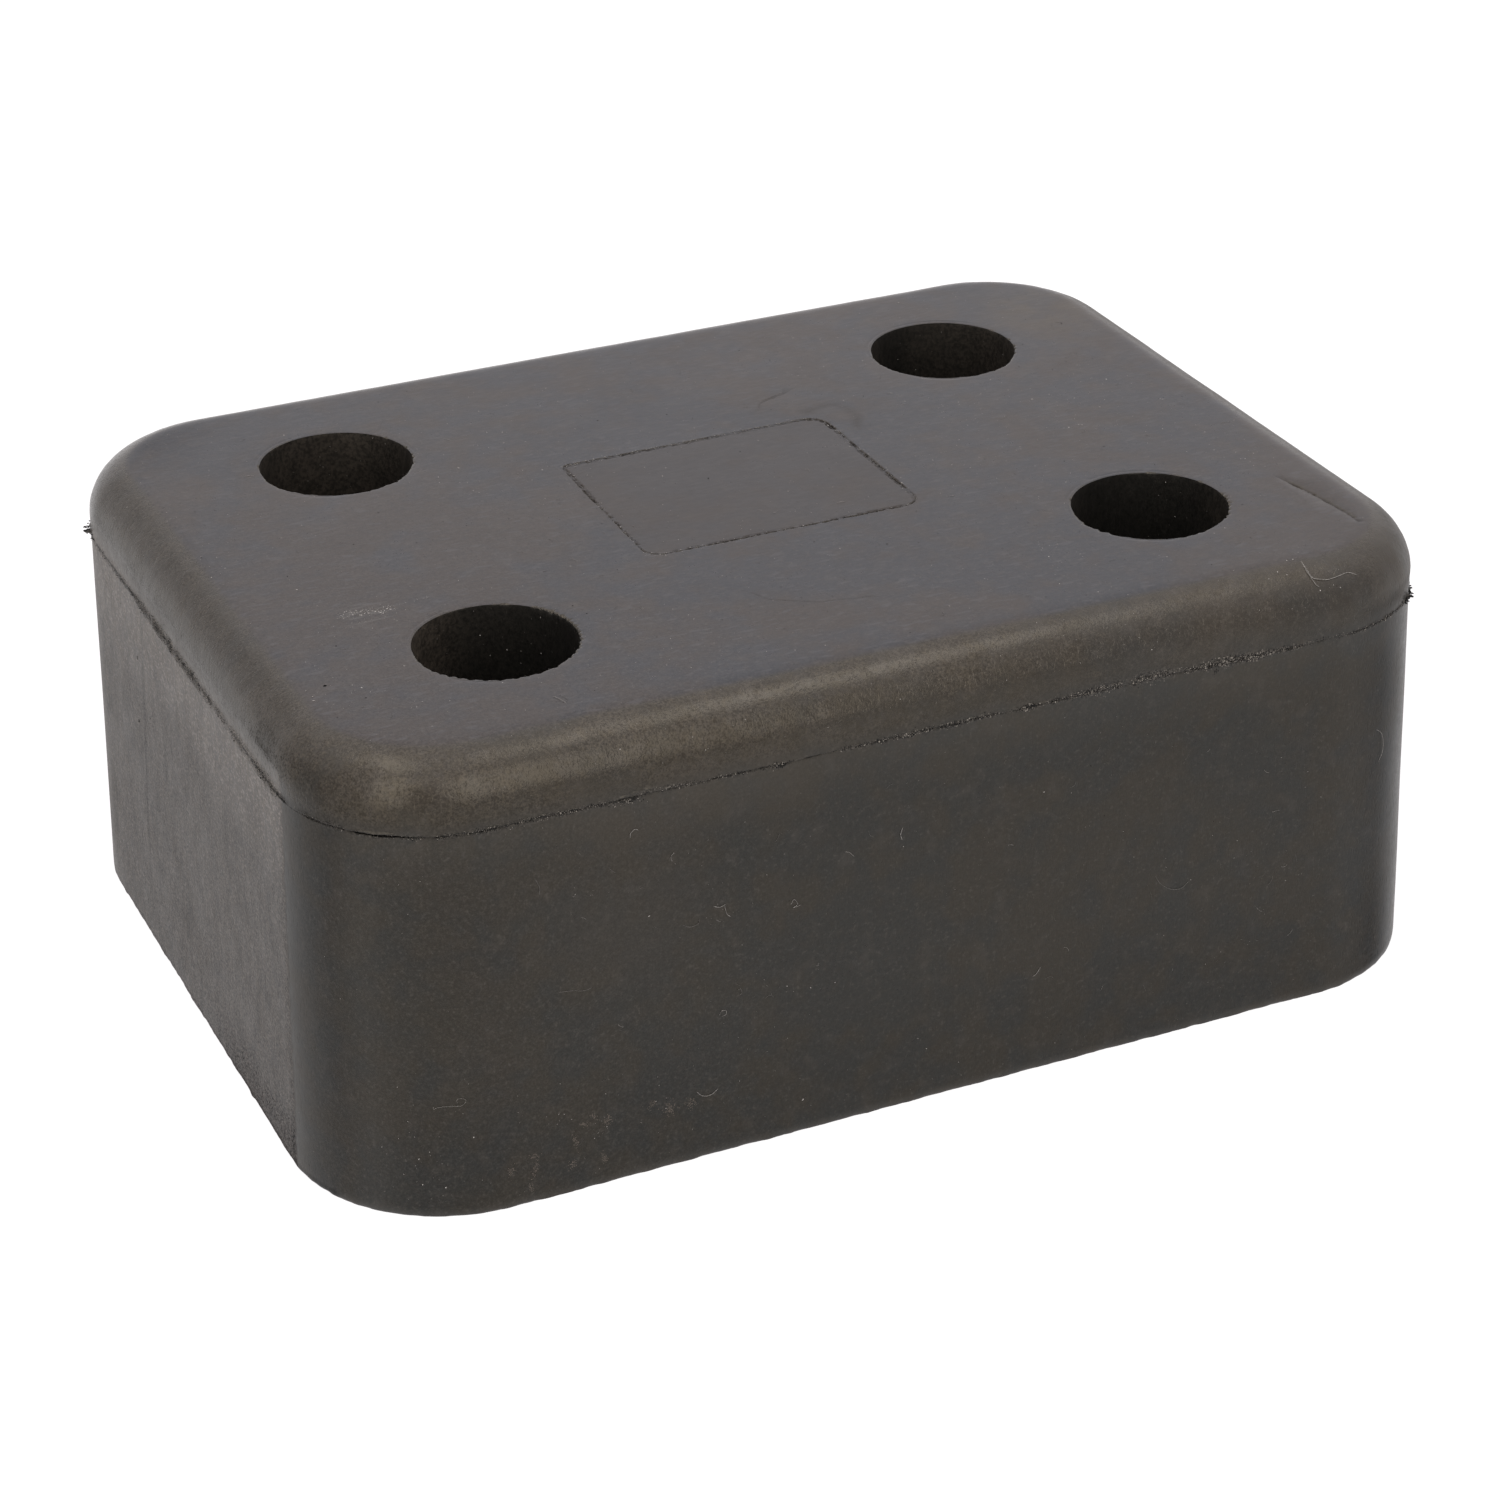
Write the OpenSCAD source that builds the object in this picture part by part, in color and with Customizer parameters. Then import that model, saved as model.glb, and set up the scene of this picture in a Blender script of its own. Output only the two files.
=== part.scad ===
// Rubber buffer block for the back of a trailer or a loading dock.
// One solid moulding: a block with round corners, a rounded top edge,
// four stepped bolt holes and a fine groove that outlines a flat panel on top.
// Origin: centre of the flat back face that is bolted to the vehicle.
// +X along the length, +Y along the width, +Z out to the contact face.

/* [Block] */
// Length of the back face
block_l = 200; // [180:1:240]
// Width of the back face
block_w = 150; // [130:1:190]
// Height from the back face to the contact face
block_h = 78; // [64:1:100]
// How far each side leans in from the back face up to the parting line
draft = 2; // [0.5:0.5:4]
// Corner radius in plan at the parting line
corner_r = 25; // [16:1:32]
// Radius that rounds the top edge
edge_r = 9; // [4:0.5:11]
// Straight band between the parting line and the rounded top edge
band_h = 2.7; // [1:0.1:6]

/* [Bolt holes] */
// Hole spacing along the length
pitch_x = 116; // [100:1:130]
// Hole spacing along the width
pitch_y = 75; // [60:1:90]
// Diameter of the deep socket for the bolt head and its washer
socket_d = 26; // [20:0.5:30]
// Diameter of the hole for the bolt's shank
shank_d = 14; // [8:0.5:16]
// Thickness of rubber left under the washer
seat_t = 20; // [10:1:30]

/* [Moulding marks] */
// How far the trimmed flash stands out at the parting line
flash_w = 0.5; // [0.2:0.1:1]
// Height of the flash where it meets the side
flash_h = 0.8; // [0.4:0.1:1.5]
// Length of the panel outlined in the top face
panel_l = 49; // [30:1:56]
// Width of the panel outlined in the top face
panel_w = 40; // [20:1:50]
// Corner radius of the panel
panel_r = 3.5; // [2:0.5:8]
// Width of the fine groove around the panel
groove_w = 0.5; // [0.3:0.1:1]
// Depth of the fine groove around the panel
groove_d = 0.3; // [0.2:0.1:0.6]

/* [Hidden] */
$fn = 96;
// height of the parting line above the back face
part_z = block_h - edge_r - band_h;
// corner axes, shared by the lower and the upper mould halves
ax = block_l / 2 - draft - corner_r;
ay = block_w / 2 - draft - corner_r;
base_r = corner_r + draft;
rubber = [0.15, 0.15, 0.15];

// puts the children on the four corner axes
module at_corners(x, y) {
    for (sx = [-1, 1], sy = [-1, 1]) translate([sx * x, sy * y, 0]) children();
}

// extrudes a section drawn in X and Z along Y, centred
module along_y(len) {
    rotate([90, 0, 0]) linear_extrude(height = len, center = true) children();
}

// extrudes a section drawn in Y and Z along X, centred
module along_x(len) {
    rotate([90, 0, 90]) linear_extrude(height = len, center = true) children();
}

// section of the lower half across its full breadth, half-width h at the parting line
module lower_section(h) {
    polygon([[-h - draft, 0], [h + draft, 0], [h, part_z], [-h, part_z]]);
}

// half section of the upper half, from the centre out to the half-width h
module upper_half(h) {
    translate([0, part_z]) square([h, band_h]);
    translate([0, block_h - edge_r]) square([h - edge_r, edge_r]);
    intersection() {
        translate([h - edge_r, block_h - edge_r]) circle(r = edge_r);
        translate([h - edge_r, block_h - edge_r]) square([edge_r, edge_r]);
    }
}

// full section of the upper half
module upper_section(h) {
    upper_half(h);
    mirror([1, 0]) upper_half(h);
}

// half section of the flash, a thin lip that narrows outwards
module flash_half(h) {
    polygon([
        [h - 2, part_z - flash_h / 2], [h, part_z - flash_h / 2],
        [h + flash_w, part_z - flash_h / 6], [h + flash_w, part_z + flash_h / 6],
        [h, part_z + flash_h / 2], [h - 2, part_z + flash_h / 2]
    ]);
}

// tapered part of the block below the parting line
module lower_body() {
    along_y(2 * ay) lower_section(ax + corner_r);
    along_x(2 * ax) lower_section(ay + corner_r);
    at_corners(ax, ay) cylinder(h = part_z, r1 = base_r, r2 = corner_r);
}

// straight band and rounded edge above the parting line
module upper_body() {
    along_y(2 * ay) upper_section(ax + corner_r);
    along_x(2 * ax) upper_section(ay + corner_r);
    at_corners(ax, ay) rotate_extrude() upper_half(corner_r);
}

// flash left all round at the parting line
module flash() {
    along_y(2 * ay) { flash_half(ax + corner_r); mirror([1, 0]) flash_half(ax + corner_r); }
    along_x(2 * ax) { flash_half(ay + corner_r); mirror([1, 0]) flash_half(ay + corner_r); }
    at_corners(ax, ay) rotate_extrude() flash_half(corner_r);
}

// plan of a rectangle with round corners
module round_rect(l, w, r) {
    square([l - 2 * r, w], center = true);
    square([l, w - 2 * r], center = true);
    at_corners(l / 2 - r, w / 2 - r) circle(r = r);
}

// fine groove around the panel
module panel_groove() {
    translate([0, 0, block_h - groove_d]) linear_extrude(height = groove_d + 1)
        difference() {
            round_rect(panel_l + groove_w, panel_w + groove_w, panel_r + groove_w / 2);
            round_rect(panel_l - groove_w, panel_w - groove_w, panel_r - groove_w / 2);
        }
}

// one bolt hole: narrow through the seat, wide from the seat to the top face
module bolt_hole() {
    translate([0, 0, -1]) cylinder(h = seat_t + 2, d = shank_d);
    translate([0, 0, seat_t]) cylinder(h = block_h - seat_t + 1, d = socket_d);
}

// the whole moulding
module buffer_block() {
    color(rubber) difference() {
        union() {
            lower_body();
            upper_body();
            flash();
        }
        at_corners(pitch_x / 2, pitch_y / 2) bolt_hole();
        panel_groove();
    }
}

buffer_block();
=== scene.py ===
"""Rubber buffer block: one moulded solid with round corners, a rounded top edge, four stepped
bolt holes, a trimmed parting line and a fine groove that outlines a flat panel on top.
Sizes in this file are millimetres until a mesh is written, which is in metres."""
import math

import bpy
import numpy as np
from mathutils import Matrix, Vector
from mathutils.geometry import delaunay_2d_cdt


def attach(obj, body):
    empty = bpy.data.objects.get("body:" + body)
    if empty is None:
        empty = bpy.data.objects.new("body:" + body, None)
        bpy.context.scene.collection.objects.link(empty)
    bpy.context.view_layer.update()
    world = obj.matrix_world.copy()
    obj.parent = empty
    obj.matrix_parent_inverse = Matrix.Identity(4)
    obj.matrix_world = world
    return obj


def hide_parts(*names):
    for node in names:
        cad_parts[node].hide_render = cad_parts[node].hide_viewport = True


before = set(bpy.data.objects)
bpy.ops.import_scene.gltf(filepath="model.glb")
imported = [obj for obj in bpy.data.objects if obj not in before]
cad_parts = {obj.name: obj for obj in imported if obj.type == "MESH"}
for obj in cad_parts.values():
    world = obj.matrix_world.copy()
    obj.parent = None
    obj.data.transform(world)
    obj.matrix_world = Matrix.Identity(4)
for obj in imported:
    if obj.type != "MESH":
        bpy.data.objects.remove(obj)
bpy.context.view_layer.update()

MM = 0.001
RNG = np.random.default_rng(11)

# ------------------------------------------------------------------ camera
scene = bpy.context.scene
scene.view_settings.view_transform = "Standard"
scene.view_settings.look = "None"
scene.view_settings.exposure = 0.0
scene.view_settings.gamma = 1.0

CAM_AZ, CAM_EL, CAM_ROLL = -0.423242, 0.493738, -0.011077
CAM_AT = Vector((-237.545, -531.482, 340.452)) * MM
CAM_F = 3792.6 / 1500.0 * 36.0
back = Vector((math.sin(CAM_AZ) * math.cos(CAM_EL), -math.cos(CAM_AZ) * math.cos(CAM_EL), math.sin(CAM_EL)))
right = Vector((math.cos(CAM_AZ), math.sin(CAM_AZ), 0.0))
up = back.cross(right)
r2 = right * math.cos(CAM_ROLL) + up * math.sin(CAM_ROLL)
u2 = up * math.cos(CAM_ROLL) - right * math.sin(CAM_ROLL)
cam_data = bpy.data.cameras.new("camera")
cam = bpy.data.objects.new("camera", cam_data)
scene.collection.objects.link(cam)
cam.matrix_world = Matrix(((r2.x, u2.x, back.x, CAM_AT.x), (r2.y, u2.y, back.y, CAM_AT.y),
                           (r2.z, u2.z, back.z, CAM_AT.z), (0, 0, 0, 1)))
cam_data.lens = CAM_F
cam_data.sensor_width = 36.0
cam_data.clip_start, cam_data.clip_end = 0.01, 50.0
scene.camera = cam

# ------------------------------------------------------------------ sizes, as in the CAD source
AX, AY = 73.0, 48.0              # corner axes
H, EDGE_R, PART_Z = 78.0, 9.0, 66.3
BASE_R, CORNER_R = 27.0, 25.0
PX, PY = 58.0, 37.5              # hole centres
R_SOCK, R_SHANK, SEAT = 13.0, 7.0, 20.0
PAN_L, PAN_W, PAN_R = 48.0, 38.0, 5.0


# ------------------------------------------------------------------ noise in numpy
def _hash(ix, iy, iz, seed):
    n = (ix.astype(np.uint64) * np.uint64(73856093)) ^ (iy.astype(np.uint64) * np.uint64(19349663)) \
        ^ (iz.astype(np.uint64) * np.uint64(83492791)) ^ np.uint64(seed * 2654435 + 97)
    n = n & np.uint64(0xFFFFFFFF)
    n = ((n ^ (n >> np.uint64(15))) * np.uint64(2246822519)) & np.uint64(0xFFFFFFFF)
    n = ((n ^ (n >> np.uint64(13))) * np.uint64(3266489917)) & np.uint64(0xFFFFFFFF)
    n = n ^ (n >> np.uint64(16))
    return n.astype(np.float64) / 4294967295.0


def vnoise(p, seed=0):
    """Smooth value noise, -1 to 1, at points p (N, 3) given in lattice units."""
    p = np.asarray(p, float) + 1000.0
    i = np.floor(p).astype(np.int64)
    f = p - i
    u = f * f * f * (f * (f * 6 - 15) + 10)
    out = 0.0
    for dx in (0, 1):
        for dy in (0, 1):
            for dz in (0, 1):
                w = (u[:, 0] if dx else 1 - u[:, 0]) * (u[:, 1] if dy else 1 - u[:, 1]) * (u[:, 2] if dz else 1 - u[:, 2])
                out = out + w * _hash(i[:, 0] + dx, i[:, 1] + dy, i[:, 2] + dz, seed)
    return out * 2 - 1


def fbm(p, seed=0, octaves=3, gain=0.5):
    p = np.asarray(p, float)
    out, a, t = 0.0, 1.0, 0.0
    for k in range(octaves):
        out = out + a * vnoise(p * 2.0 ** k, seed + 17 * k)
        t += a
        a *= gain
    return out / t


def line_noise(s, scale, seed, octaves=2):
    """Noise along a length s, in mm."""
    s = np.asarray(s, float)
    return fbm(np.c_[s / scale, np.zeros_like(s), np.zeros_like(s)], seed, octaves)


def smooth(x, a, b):
    t = np.clip((np.asarray(x, float) - a) / (b - a), 0, 1)
    return t * t * (3 - 2 * t)


def bell(x, w):
    return np.exp(-(np.asarray(x, float) / w) ** 2)


# ------------------------------------------------------------------ the block's outline as columns
def columns(step):
    """Per column: corner axis x, y, outward normal x, y and the length along the outline, counter-clockwise from the front left."""
    out, s = [], 0.0

    def straight(a, b, n):
        nonlocal s
        length = math.dist(a, b)
        k = 4 * max(1, round(length / step / 4))
        for j in range(k):
            t = j / k
            out.append((a[0] + (b[0] - a[0]) * t, a[1] + (b[1] - a[1]) * t, n[0], n[1], s + length * t))
        s += length

    def corner(c, a0):
        nonlocal s
        length = math.pi / 2 * CORNER_R
        k = 4 * max(1, round(length / step / 4))
        for j in range(k):
            a = math.radians(a0 + 90.0 * j / k)
            out.append((c[0], c[1], math.cos(a), math.sin(a), s + length * j / k))
        s += length

    straight((-AX, -AY), (AX, -AY), (0, -1)); corner((AX, -AY), -90)
    straight((AX, -AY), (AX, AY), (1, 0)); corner((AX, AY), 0)
    straight((AX, AY), (-AX, AY), (0, 1)); corner((-AX, AY), 90)
    straight((-AX, AY), (-AX, -AY), (-1, 0)); corner((-AX, -AY), 180)
    return np.array(out), s


FINE, PERIM = columns(0.31)
MIDDLE, COARSE = FINE[::2], FINE[::4]


def rho(z):
    """Distance of the surface from the corner axes at height z, below the rounded edge."""
    return np.where(z < PART_Z, BASE_R - (BASE_R - CORNER_R) * z / PART_Z, CORNER_R)


V, F = [], []                    # vertices, faces
TAG, SEAM = [], []               # per vertex: 1 on a hole's wall; height above the parting line


def add(points, tag=0, seam=3.0):
    a = len(V)
    V.extend([tuple(p) for p in points])
    TAG.extend([tag] * len(points))
    SEAM.extend([seam] * len(points))
    return np.arange(a, a + len(points))


def link(low, high):
    """Faces between two closed rows, the second above the first, with as many points or twice or half as many."""
    n, m = len(low), len(high)
    if n == m:
        for j in range(n):
            k = (j + 1) % n
            F.append((low[j], low[k], high[k], high[j]))
    elif m == 2 * n:
        for j in range(n):
            a, b, p, q, r = low[j], low[(j + 1) % n], high[2 * j], high[2 * j + 1], high[(2 * j + 2) % m]
            F.extend([(a, q, p), (a, b, q), (b, r, q)])
    else:
        for j in range(m):
            a, b, p, q, r = high[j], high[(j + 1) % m], low[2 * j], low[2 * j + 1], low[(2 * j + 2) % n]
            F.extend([(p, q, a), (q, b, a), (q, r, b)])


# ------------------------------------------------------------------ the torn parting line
def ring(c, z=PART_Z):
    r = rho(np.array(z))
    return np.c_[c[:, 0] + c[:, 2] * r, c[:, 1] + c[:, 3] * r]


def at(c, x, y, width):
    """Bell of the given half width, in mm, around the place on the outline nearest (x, y)."""
    p = ring(c)
    return np.exp(-((p[:, 0] - x) ** 2 + (p[:, 1] - y) ** 2) / (width ** 2))


def on_left(y):
    return PERIM - math.pi / 2 * CORNER_R - AY - y


def on_turn(azimuth):
    return PERIM - math.radians(270 - azimuth) * CORNER_R


def on_far_turn(azimuth):
    return 2 * AX + math.radians(azimuth + 90) * CORNER_R


# how the line was left by trimming: length along the outline, how thick the crumbs lie, share of pale ones,
# their height over the line and spread in mm, and how open the crack is
LINE = [(x + AX, de * 1.15, pa, sh, sp * 1.3, cr * 0.72) for x, de, pa, sh, sp, cr in (
    (-70, 0.9, 0.35, 0.00, 0.25, 0.40), (-60, 0.9, 0.35, 0.00, 0.22, 0.40), (-54.5, 0.6, 0.30, 0.00, 0.20, 0.35), (-50.5, 1.3, 0.15, -0.35, 0.30, 0.70),
    (-47.5, 0.3, 0.50, 0.40, 0.20, 0.40), (-44, 0.7, 0.50, 0.30, 0.25, 0.40), (-40, 0.35, 0.40, 0.15, 0.15, 0.45), (-36, 0.5, 0.40, 0.00, 0.18, 0.40),
    (-30, 0.4, 0.20, -0.05, 0.12, 0.50), (-26.5, 1.0, 0.30, -0.10, 0.25, 0.40), (-24, 0.12, 0.20, 0.00, 0.10, 0.45), (-17, 0.10, 0.20, 0.00, 0.10, 0.45),
    (-15.5, 0.9, 0.45, 0.05, 0.20, 0.30), (-11, 0.5, 0.40, 0.05, 0.15, 0.30), (-8, 1.0, 0.40, 0.05, 0.22, 0.35), (3, 1.0, 0.40, 0.05, 0.20, 0.35),
    (9, 0.8, 0.40, 0.05, 0.20, 0.35), (12, 0.25, 0.30, 0.00, 0.15, 0.35), (15, 0.6, 0.30, 0.00, 0.20, 0.40), (16.5, 1.5, 0.30, 0.00, 0.30, 0.60),
    (19, 0.4, 0.70, 0.10, 0.12, 0.30), (21.5, 1.0, 0.15, 0.05, 0.25, 0.40), (25, 1.0, 0.50, 0.15, 0.28, 0.30), (32, 1.0, 0.60, 0.35, 0.40, 0.25),
    (34.5, 0.2, 0.60, 0.30, 0.40, 0.20), (37, 0.9, 0.75, 0.50, 0.45, 0.20), (41, 0.8, 0.75, 0.50, 0.45, 0.20), (44, 0.5, 0.60, 0.30, 0.30, 0.30),
    (46, 1.3, 0.55, 0.15, 0.30, 0.40), (52, 1.6, 0.60, 0.20, 0.42, 0.50), (58, 1.8, 0.65, 0.10, 0.35, 0.50), (62, 1.0, 0.50, 0.00, 0.25, 0.40),
    (65, 1.2, 0.55, 0.00, 0.22, 0.40), (67.5, 0.3, 0.40, 0.10, 0.20, 0.20), (72, 0.3, 0.40, 0.10, 0.20, 0.20))]
LINE += [(on_far_turn(a), *k) for a, *k in ((-80, 0.5, 0.40, 0.00, 0.20, 0.30), (-45, 0.8, 0.30, 0.00, 0.30, 0.50), (0, 0.5, 0.25, 0.00, 0.20, 0.50))]
LINE += [(on_left(y), de * 1.2, pa + 0.28, sh, sp * 1.7, cr if cr > 0.7 else cr * 0.5) for y, de, pa, sh, sp, cr in (
    (56, 1.0, 0.10, 0.00, 0.30, 0.60), (50, 0.5, 0.10, -0.10, 0.25, 0.50), (44, 0.3, 0.10, -0.20, 0.30, 0.42), (38, 0.3, 0.10, -0.20, 0.30, 0.40),
    (30, 0.4, 0.10, 0.00, 0.30, 0.50), (28.4, 0.4, 0.05, 0.00, 0.25, 0.80), (27.2, 0.5, 0.00, 0.00, 0.25, 2.20), (25.6, 0.5, 0.00, 0.05, 0.30, 1.60),
    (24.6, 0.5, 0.15, 0.10, 0.45, 0.55), (10, 0.9, 0.20, 0.00, 0.55, 0.60), (0, 0.9, 0.20, -0.10, 0.55, 0.65), (-8, 0.5, 0.20, 0.00, 0.45, 0.40),
    (-20, 0.5, 0.30, 0.00, 0.40, 0.32), (-40, 0.7, 0.30, 0.00, 0.50, 0.40), (-47, 0.7, 0.20, 0.00, 0.50, 0.50))]
LINE += [(on_turn(a), *k) for a, *k in (
    (183, 1.1, 0.10, 0.20, 0.35, 0.60), (189, 0.8, 0.10, 0.20, 0.35, 0.40), (192, 0.15, 0.20, 0.00, 0.20, 0.22), (200, 0.3, 0.20, 0.10, 0.30, 0.22),
    (204, 1.1, 0.15, 0.20, 0.38, 0.35), (209, 0.3, 0.20, 0.10, 0.25, 0.25), (215, 1.1, 0.15, 0.25, 0.48, 0.35), (220, 0.2, 0.30, 0.00, 0.20, 0.30),
    (225, 0.7, 0.40, -0.10, 0.30, 0.70), (232, 0.6, 0.30, -0.10, 0.22, 0.90), (238, 0.5, 0.30, 0.00, 0.20, 0.70), (243, 0.9, 0.40, 0.00, 0.25, 0.40),
    (248, 0.3, 0.30, 0.00, 0.20, 0.28), (253, 0.9, 0.25, 0.00, 0.25, 0.40), (260, 0.5, 0.30, 0.00, 0.20, 0.30), (266, 0.9, 0.30, 0.10, 0.30, 0.40))]
LINE = np.array(sorted(LINE))
# thin raised lips: from and to along the outline, their heights over the line there, and how far they stand out
LIPS = ((20.5, 26.5, 0.35, 1.05, 0.20), (90.0, 93.0, 0.12, 0.20, 0.16), (on_turn(223), on_turn(238), 0.32, 0.42, 0.18), (on_left(38), on_left(2), -0.50, -0.92, 0.09))


def line_shape(c):
    """Per column: centre offset, half width and depth of the crack, then crumb density, share of pale ones, height and spread."""
    s = c[:, 4]
    dens, pale, shift, spread, crack = (np.interp(s, LINE[:, 0], LINE[:, j], period=PERIM) for j in range(1, 6))
    centre = 0.11 * line_noise(s, 19, 3, 2) + 0.07 * line_noise(s, 3.1, 4, 2) + 0.04 * line_noise(s, 0.9, 12, 1)
    half = 0.12 + 0.03 * line_noise(s, 6.0, 5, 2) + 0.03 * line_noise(s, 1.3, 6, 1)
    depth = 0.30 * crack * (1 + 0.6 * line_noise(s, 2.5, 7, 2) + 0.5 * line_noise(s, 0.8, 8, 1))
    dens = dens * (0.80 + 0.55 * line_noise(s, 1.6, 9, 2))
    return centre, np.clip(half, 0.06, 0.3), np.clip(depth, 0.02, 0.9), np.clip(dens, 0.04, 2.2), pale, shift, spread


def line_relief(c, t, shape):
    """Outward displacement, in mm, at height t from the parting line."""
    centre, half, depth, dens, pale, shift, spread = shape
    s = c[:, 4]
    t = np.broadcast_to(t, s.shape).astype(float)
    grain = fbm(np.c_[s / 0.62, t / 0.34, np.zeros_like(s)], 21, 2)
    fine = vnoise(np.c_[s / 0.42, t / 0.22, np.zeros_like(s)], 25)
    out = -depth * np.exp(-(np.abs(t) / half) ** 2.6)
    out += dens * (0.10 * grain + 0.10 * fine + 0.03) * np.exp(-((t - shift) / (spread + 0.16)) ** 2)
    for s0, s1, t0, t1, h in LIPS:
        tc = t0 + (t1 - t0) * np.clip((s - s0) / (s1 - s0), 0, 1)
        out += h * smooth(s, s0 - 0.6, s0 + 0.6) * (1 - smooth(s, s1 - 0.8, s1 + 0.4)) * (0.8 + 0.5 * fine) * np.exp(-((t - tc) / 0.17) ** 2)
    return out


def line_look(t, shape):
    """How open the crack and how thick the torn crumbs are at height t, both from 0 to 1."""
    centre, half, depth, dens, pale, shift, spread = shape
    crack = np.exp(-(np.abs(t) / (half + 0.05)) ** 2.2) * np.clip(depth / 0.22, 0, 1.3)
    return np.clip(crack, 0, 1), np.clip(dens * np.exp(-((t - shift) / (spread + 0.14)) ** 2), 0, 1)


SHAPE = line_shape(FINE)
SPIKES = [(-97.3, 54.0, 1.15, 0.55), (-96.6, 56.1, 0.55, 0.5), (-97.9, 51.4, 0.35, 0.7), (91.6, -64.7, 1.0, 0.6), (90.0, -66.3, 0.5, 0.7), (93.2, -62.7, 0.4, 0.6)]


def row_at(c, r, z, seam=3.0):
    return add(np.c_[c[:, 0] + c[:, 2] * r, c[:, 1] + c[:, 3] * r, np.broadcast_to(z, (len(c),))], 0, seam)


def wall():
    """The outer surface from the base's edge to the start of the flat top. Returns its first and last row."""
    rows = []
    s = MIDDLE[:, 4]
    burr = 0.15 * line_noise(s, 1.9, 31, 2) + 0.10 * line_noise(s, 9, 32, 2)
    burr += 0.22 * np.clip(line_noise(s, 1.2, 33, 1) - 0.55, 0, 1) * smooth(line_noise(s, 23, 34, 1), -0.1, 0.4)
    for z in (0.0, 0.12, 0.32, 0.65, 1.2, 2.2):
        near = math.exp(-z / 0.42)
        rows.append(row_at(MIDDLE, rho(np.array(z)) + near * (-0.30 + burr), z, -3.0))
    for z in (5.0, 10, 16.5, 23, 30, 37, 44, 50.5, 56.5, 61.0, 63.2):
        rows.append(row_at(COARSE, rho(np.array(z)), z, -3.0))
    rows.append(row_at(MIDDLE, rho(np.array(64.3)), 64.3, -3.0))
    centre = SHAPE[0]
    spike = np.zeros(len(FINE))
    for x, y, h, w in SPIKES:
        spike = np.maximum(spike, h * at(FINE, x, y, w) * (0.75 + 0.5 * line_noise(FINE[:, 4], 0.7, 41, 1)))
    for t in (-1.25, -0.92, -0.70, -0.54, -0.41, -0.30, -0.20, -0.10, 0.0, 0.10, 0.20, 0.30, 0.41, 0.54, 0.70, 0.92, 1.25):
        z = PART_Z + t + centre * math.exp(-(t / 1.0) ** 4)
        r = rho(z) + line_relief(FINE, t, SHAPE) + spike * math.exp(-(t / 0.34) ** 2)
        rows.append(row_at(FINE, r, z, t))
        RAGGED.append((rows[-1], *line_look(t, SHAPE)))
    rows.append(row_at(MIDDLE, CORNER_R, 68.3))
    rows.append(row_at(MIDDLE, CORNER_R, 69.0))
    for k in range(1, 17):
        a = math.radians(90.0 * k / 16)
        rows.append(row_at(MIDDLE, CORNER_R - EDGE_R + EDGE_R * math.cos(a), H - EDGE_R + EDGE_R * math.sin(a)))
    for low, high in zip(rows[:-1], rows[1:]):
        link(low, high)
    return rows[0], rows[-1]


RAGGED = []                      # vertex numbers on the line with their two looks
BASE_LOOP, TOP_LOOP = wall()

# ------------------------------------------------------------------ bolt holes
NH = 240
ANG = np.arange(NH) * 2 * math.pi / NH
HOLES = {"left_back": (-PX, PY), "left_front": (-PX, -PY), "right_back": (PX, PY), "right_front": (PX, -PY)}
# small bites out of each rim: angle and half width in degrees, depth in mm
NICKS = {
    "left_front": [(40, 1.5, 0.3), (35, 1.2, 0.55), (31, 1.0, 0.35), (27, 1.6, 0.8), (22, 1.2, 0.5), (17, 1.0, 0.85), (13, 1.4, 0.45), (9, 1.0, 0.75), (4, 1.3, 0.5), (-1, 1.0, 0.8),
                   (-6, 1.4, 0.4), (-10, 1.0, 0.6), (-16, 1.3, 0.35), (-22, 1.2, 0.5), (-29, 1.0, 0.25), (-34, 1.4, 0.45), (-42, 1.2, 0.3), (-49, 1.0, 0.35), (-66, 1.6, 0.3), (-80, 1.2, 0.2),
                   (-97, 1.0, 0.22), (-108, 1.3, 0.3), (-118, 1.0, 0.2), (-128, 1.2, 0.34), (-136, 1.0, 0.25), (-143, 1.4, 0.42), (-150, 1.0, 0.3), (-157, 1.2, 0.38), (-166, 1.0, 0.2), (62, 2.2, 0.22)],
    "right_front": [(-6, 1.2, 0.4), (-11, 1.0, 0.75), (-15, 1.4, 0.5), (-21, 1.0, 0.7), (-26, 1.3, 0.4), (-33, 1.0, 0.3), (-41, 1.4, 0.42), (-47, 1.0, 0.25), (20, 1.5, 0.25), (60, 2, 0.2),
                    (145, 1.6, 0.25), (-108, 1.0, 0.2), (-121, 1.2, 0.24), (-140, 1.0, 0.18), (-157, 1.3, 0.3)],
    "left_back": [(5, 1.3, 0.35), (-9, 1.0, 0.3), (-14, 1.2, 0.42), (-25, 1.2, 0.3), (30, 1.4, 0.2), (-60, 1.2, 0.25), (-84, 1.0, 0.2), (160, 2, 0.25), (-110, 1.2, 0.25), (-132, 1.0, 0.2)],
    "right_back": [(-4, 1.2, 0.3), (-18, 1.3, 0.4), (-24, 1.0, 0.25), (-33, 1.2, 0.25), (20, 1.4, 0.2), (-60, 1.2, 0.22), (-88, 1.0, 0.18), (170, 2, 0.22), (-130, 1.2, 0.22)],
}


# longer stretches where the rim is worn round
ROUNDED = {"left_back": [(-64, 26, 0.30), (-118, 28, 0.14), (-160, 16, 0.24)], "left_front": [(-20, 20, 0.16), (-85, 30, 0.06), (-163, 14, 0.22)],
           "right_back": [(-74, 28, 0.26), (-128, 22, 0.26), (-168, 20, 0.30)], "right_front": [(-96, 20, 0.24), (-135, 22, 0.26), (-170, 18, 0.34)]}


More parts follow.
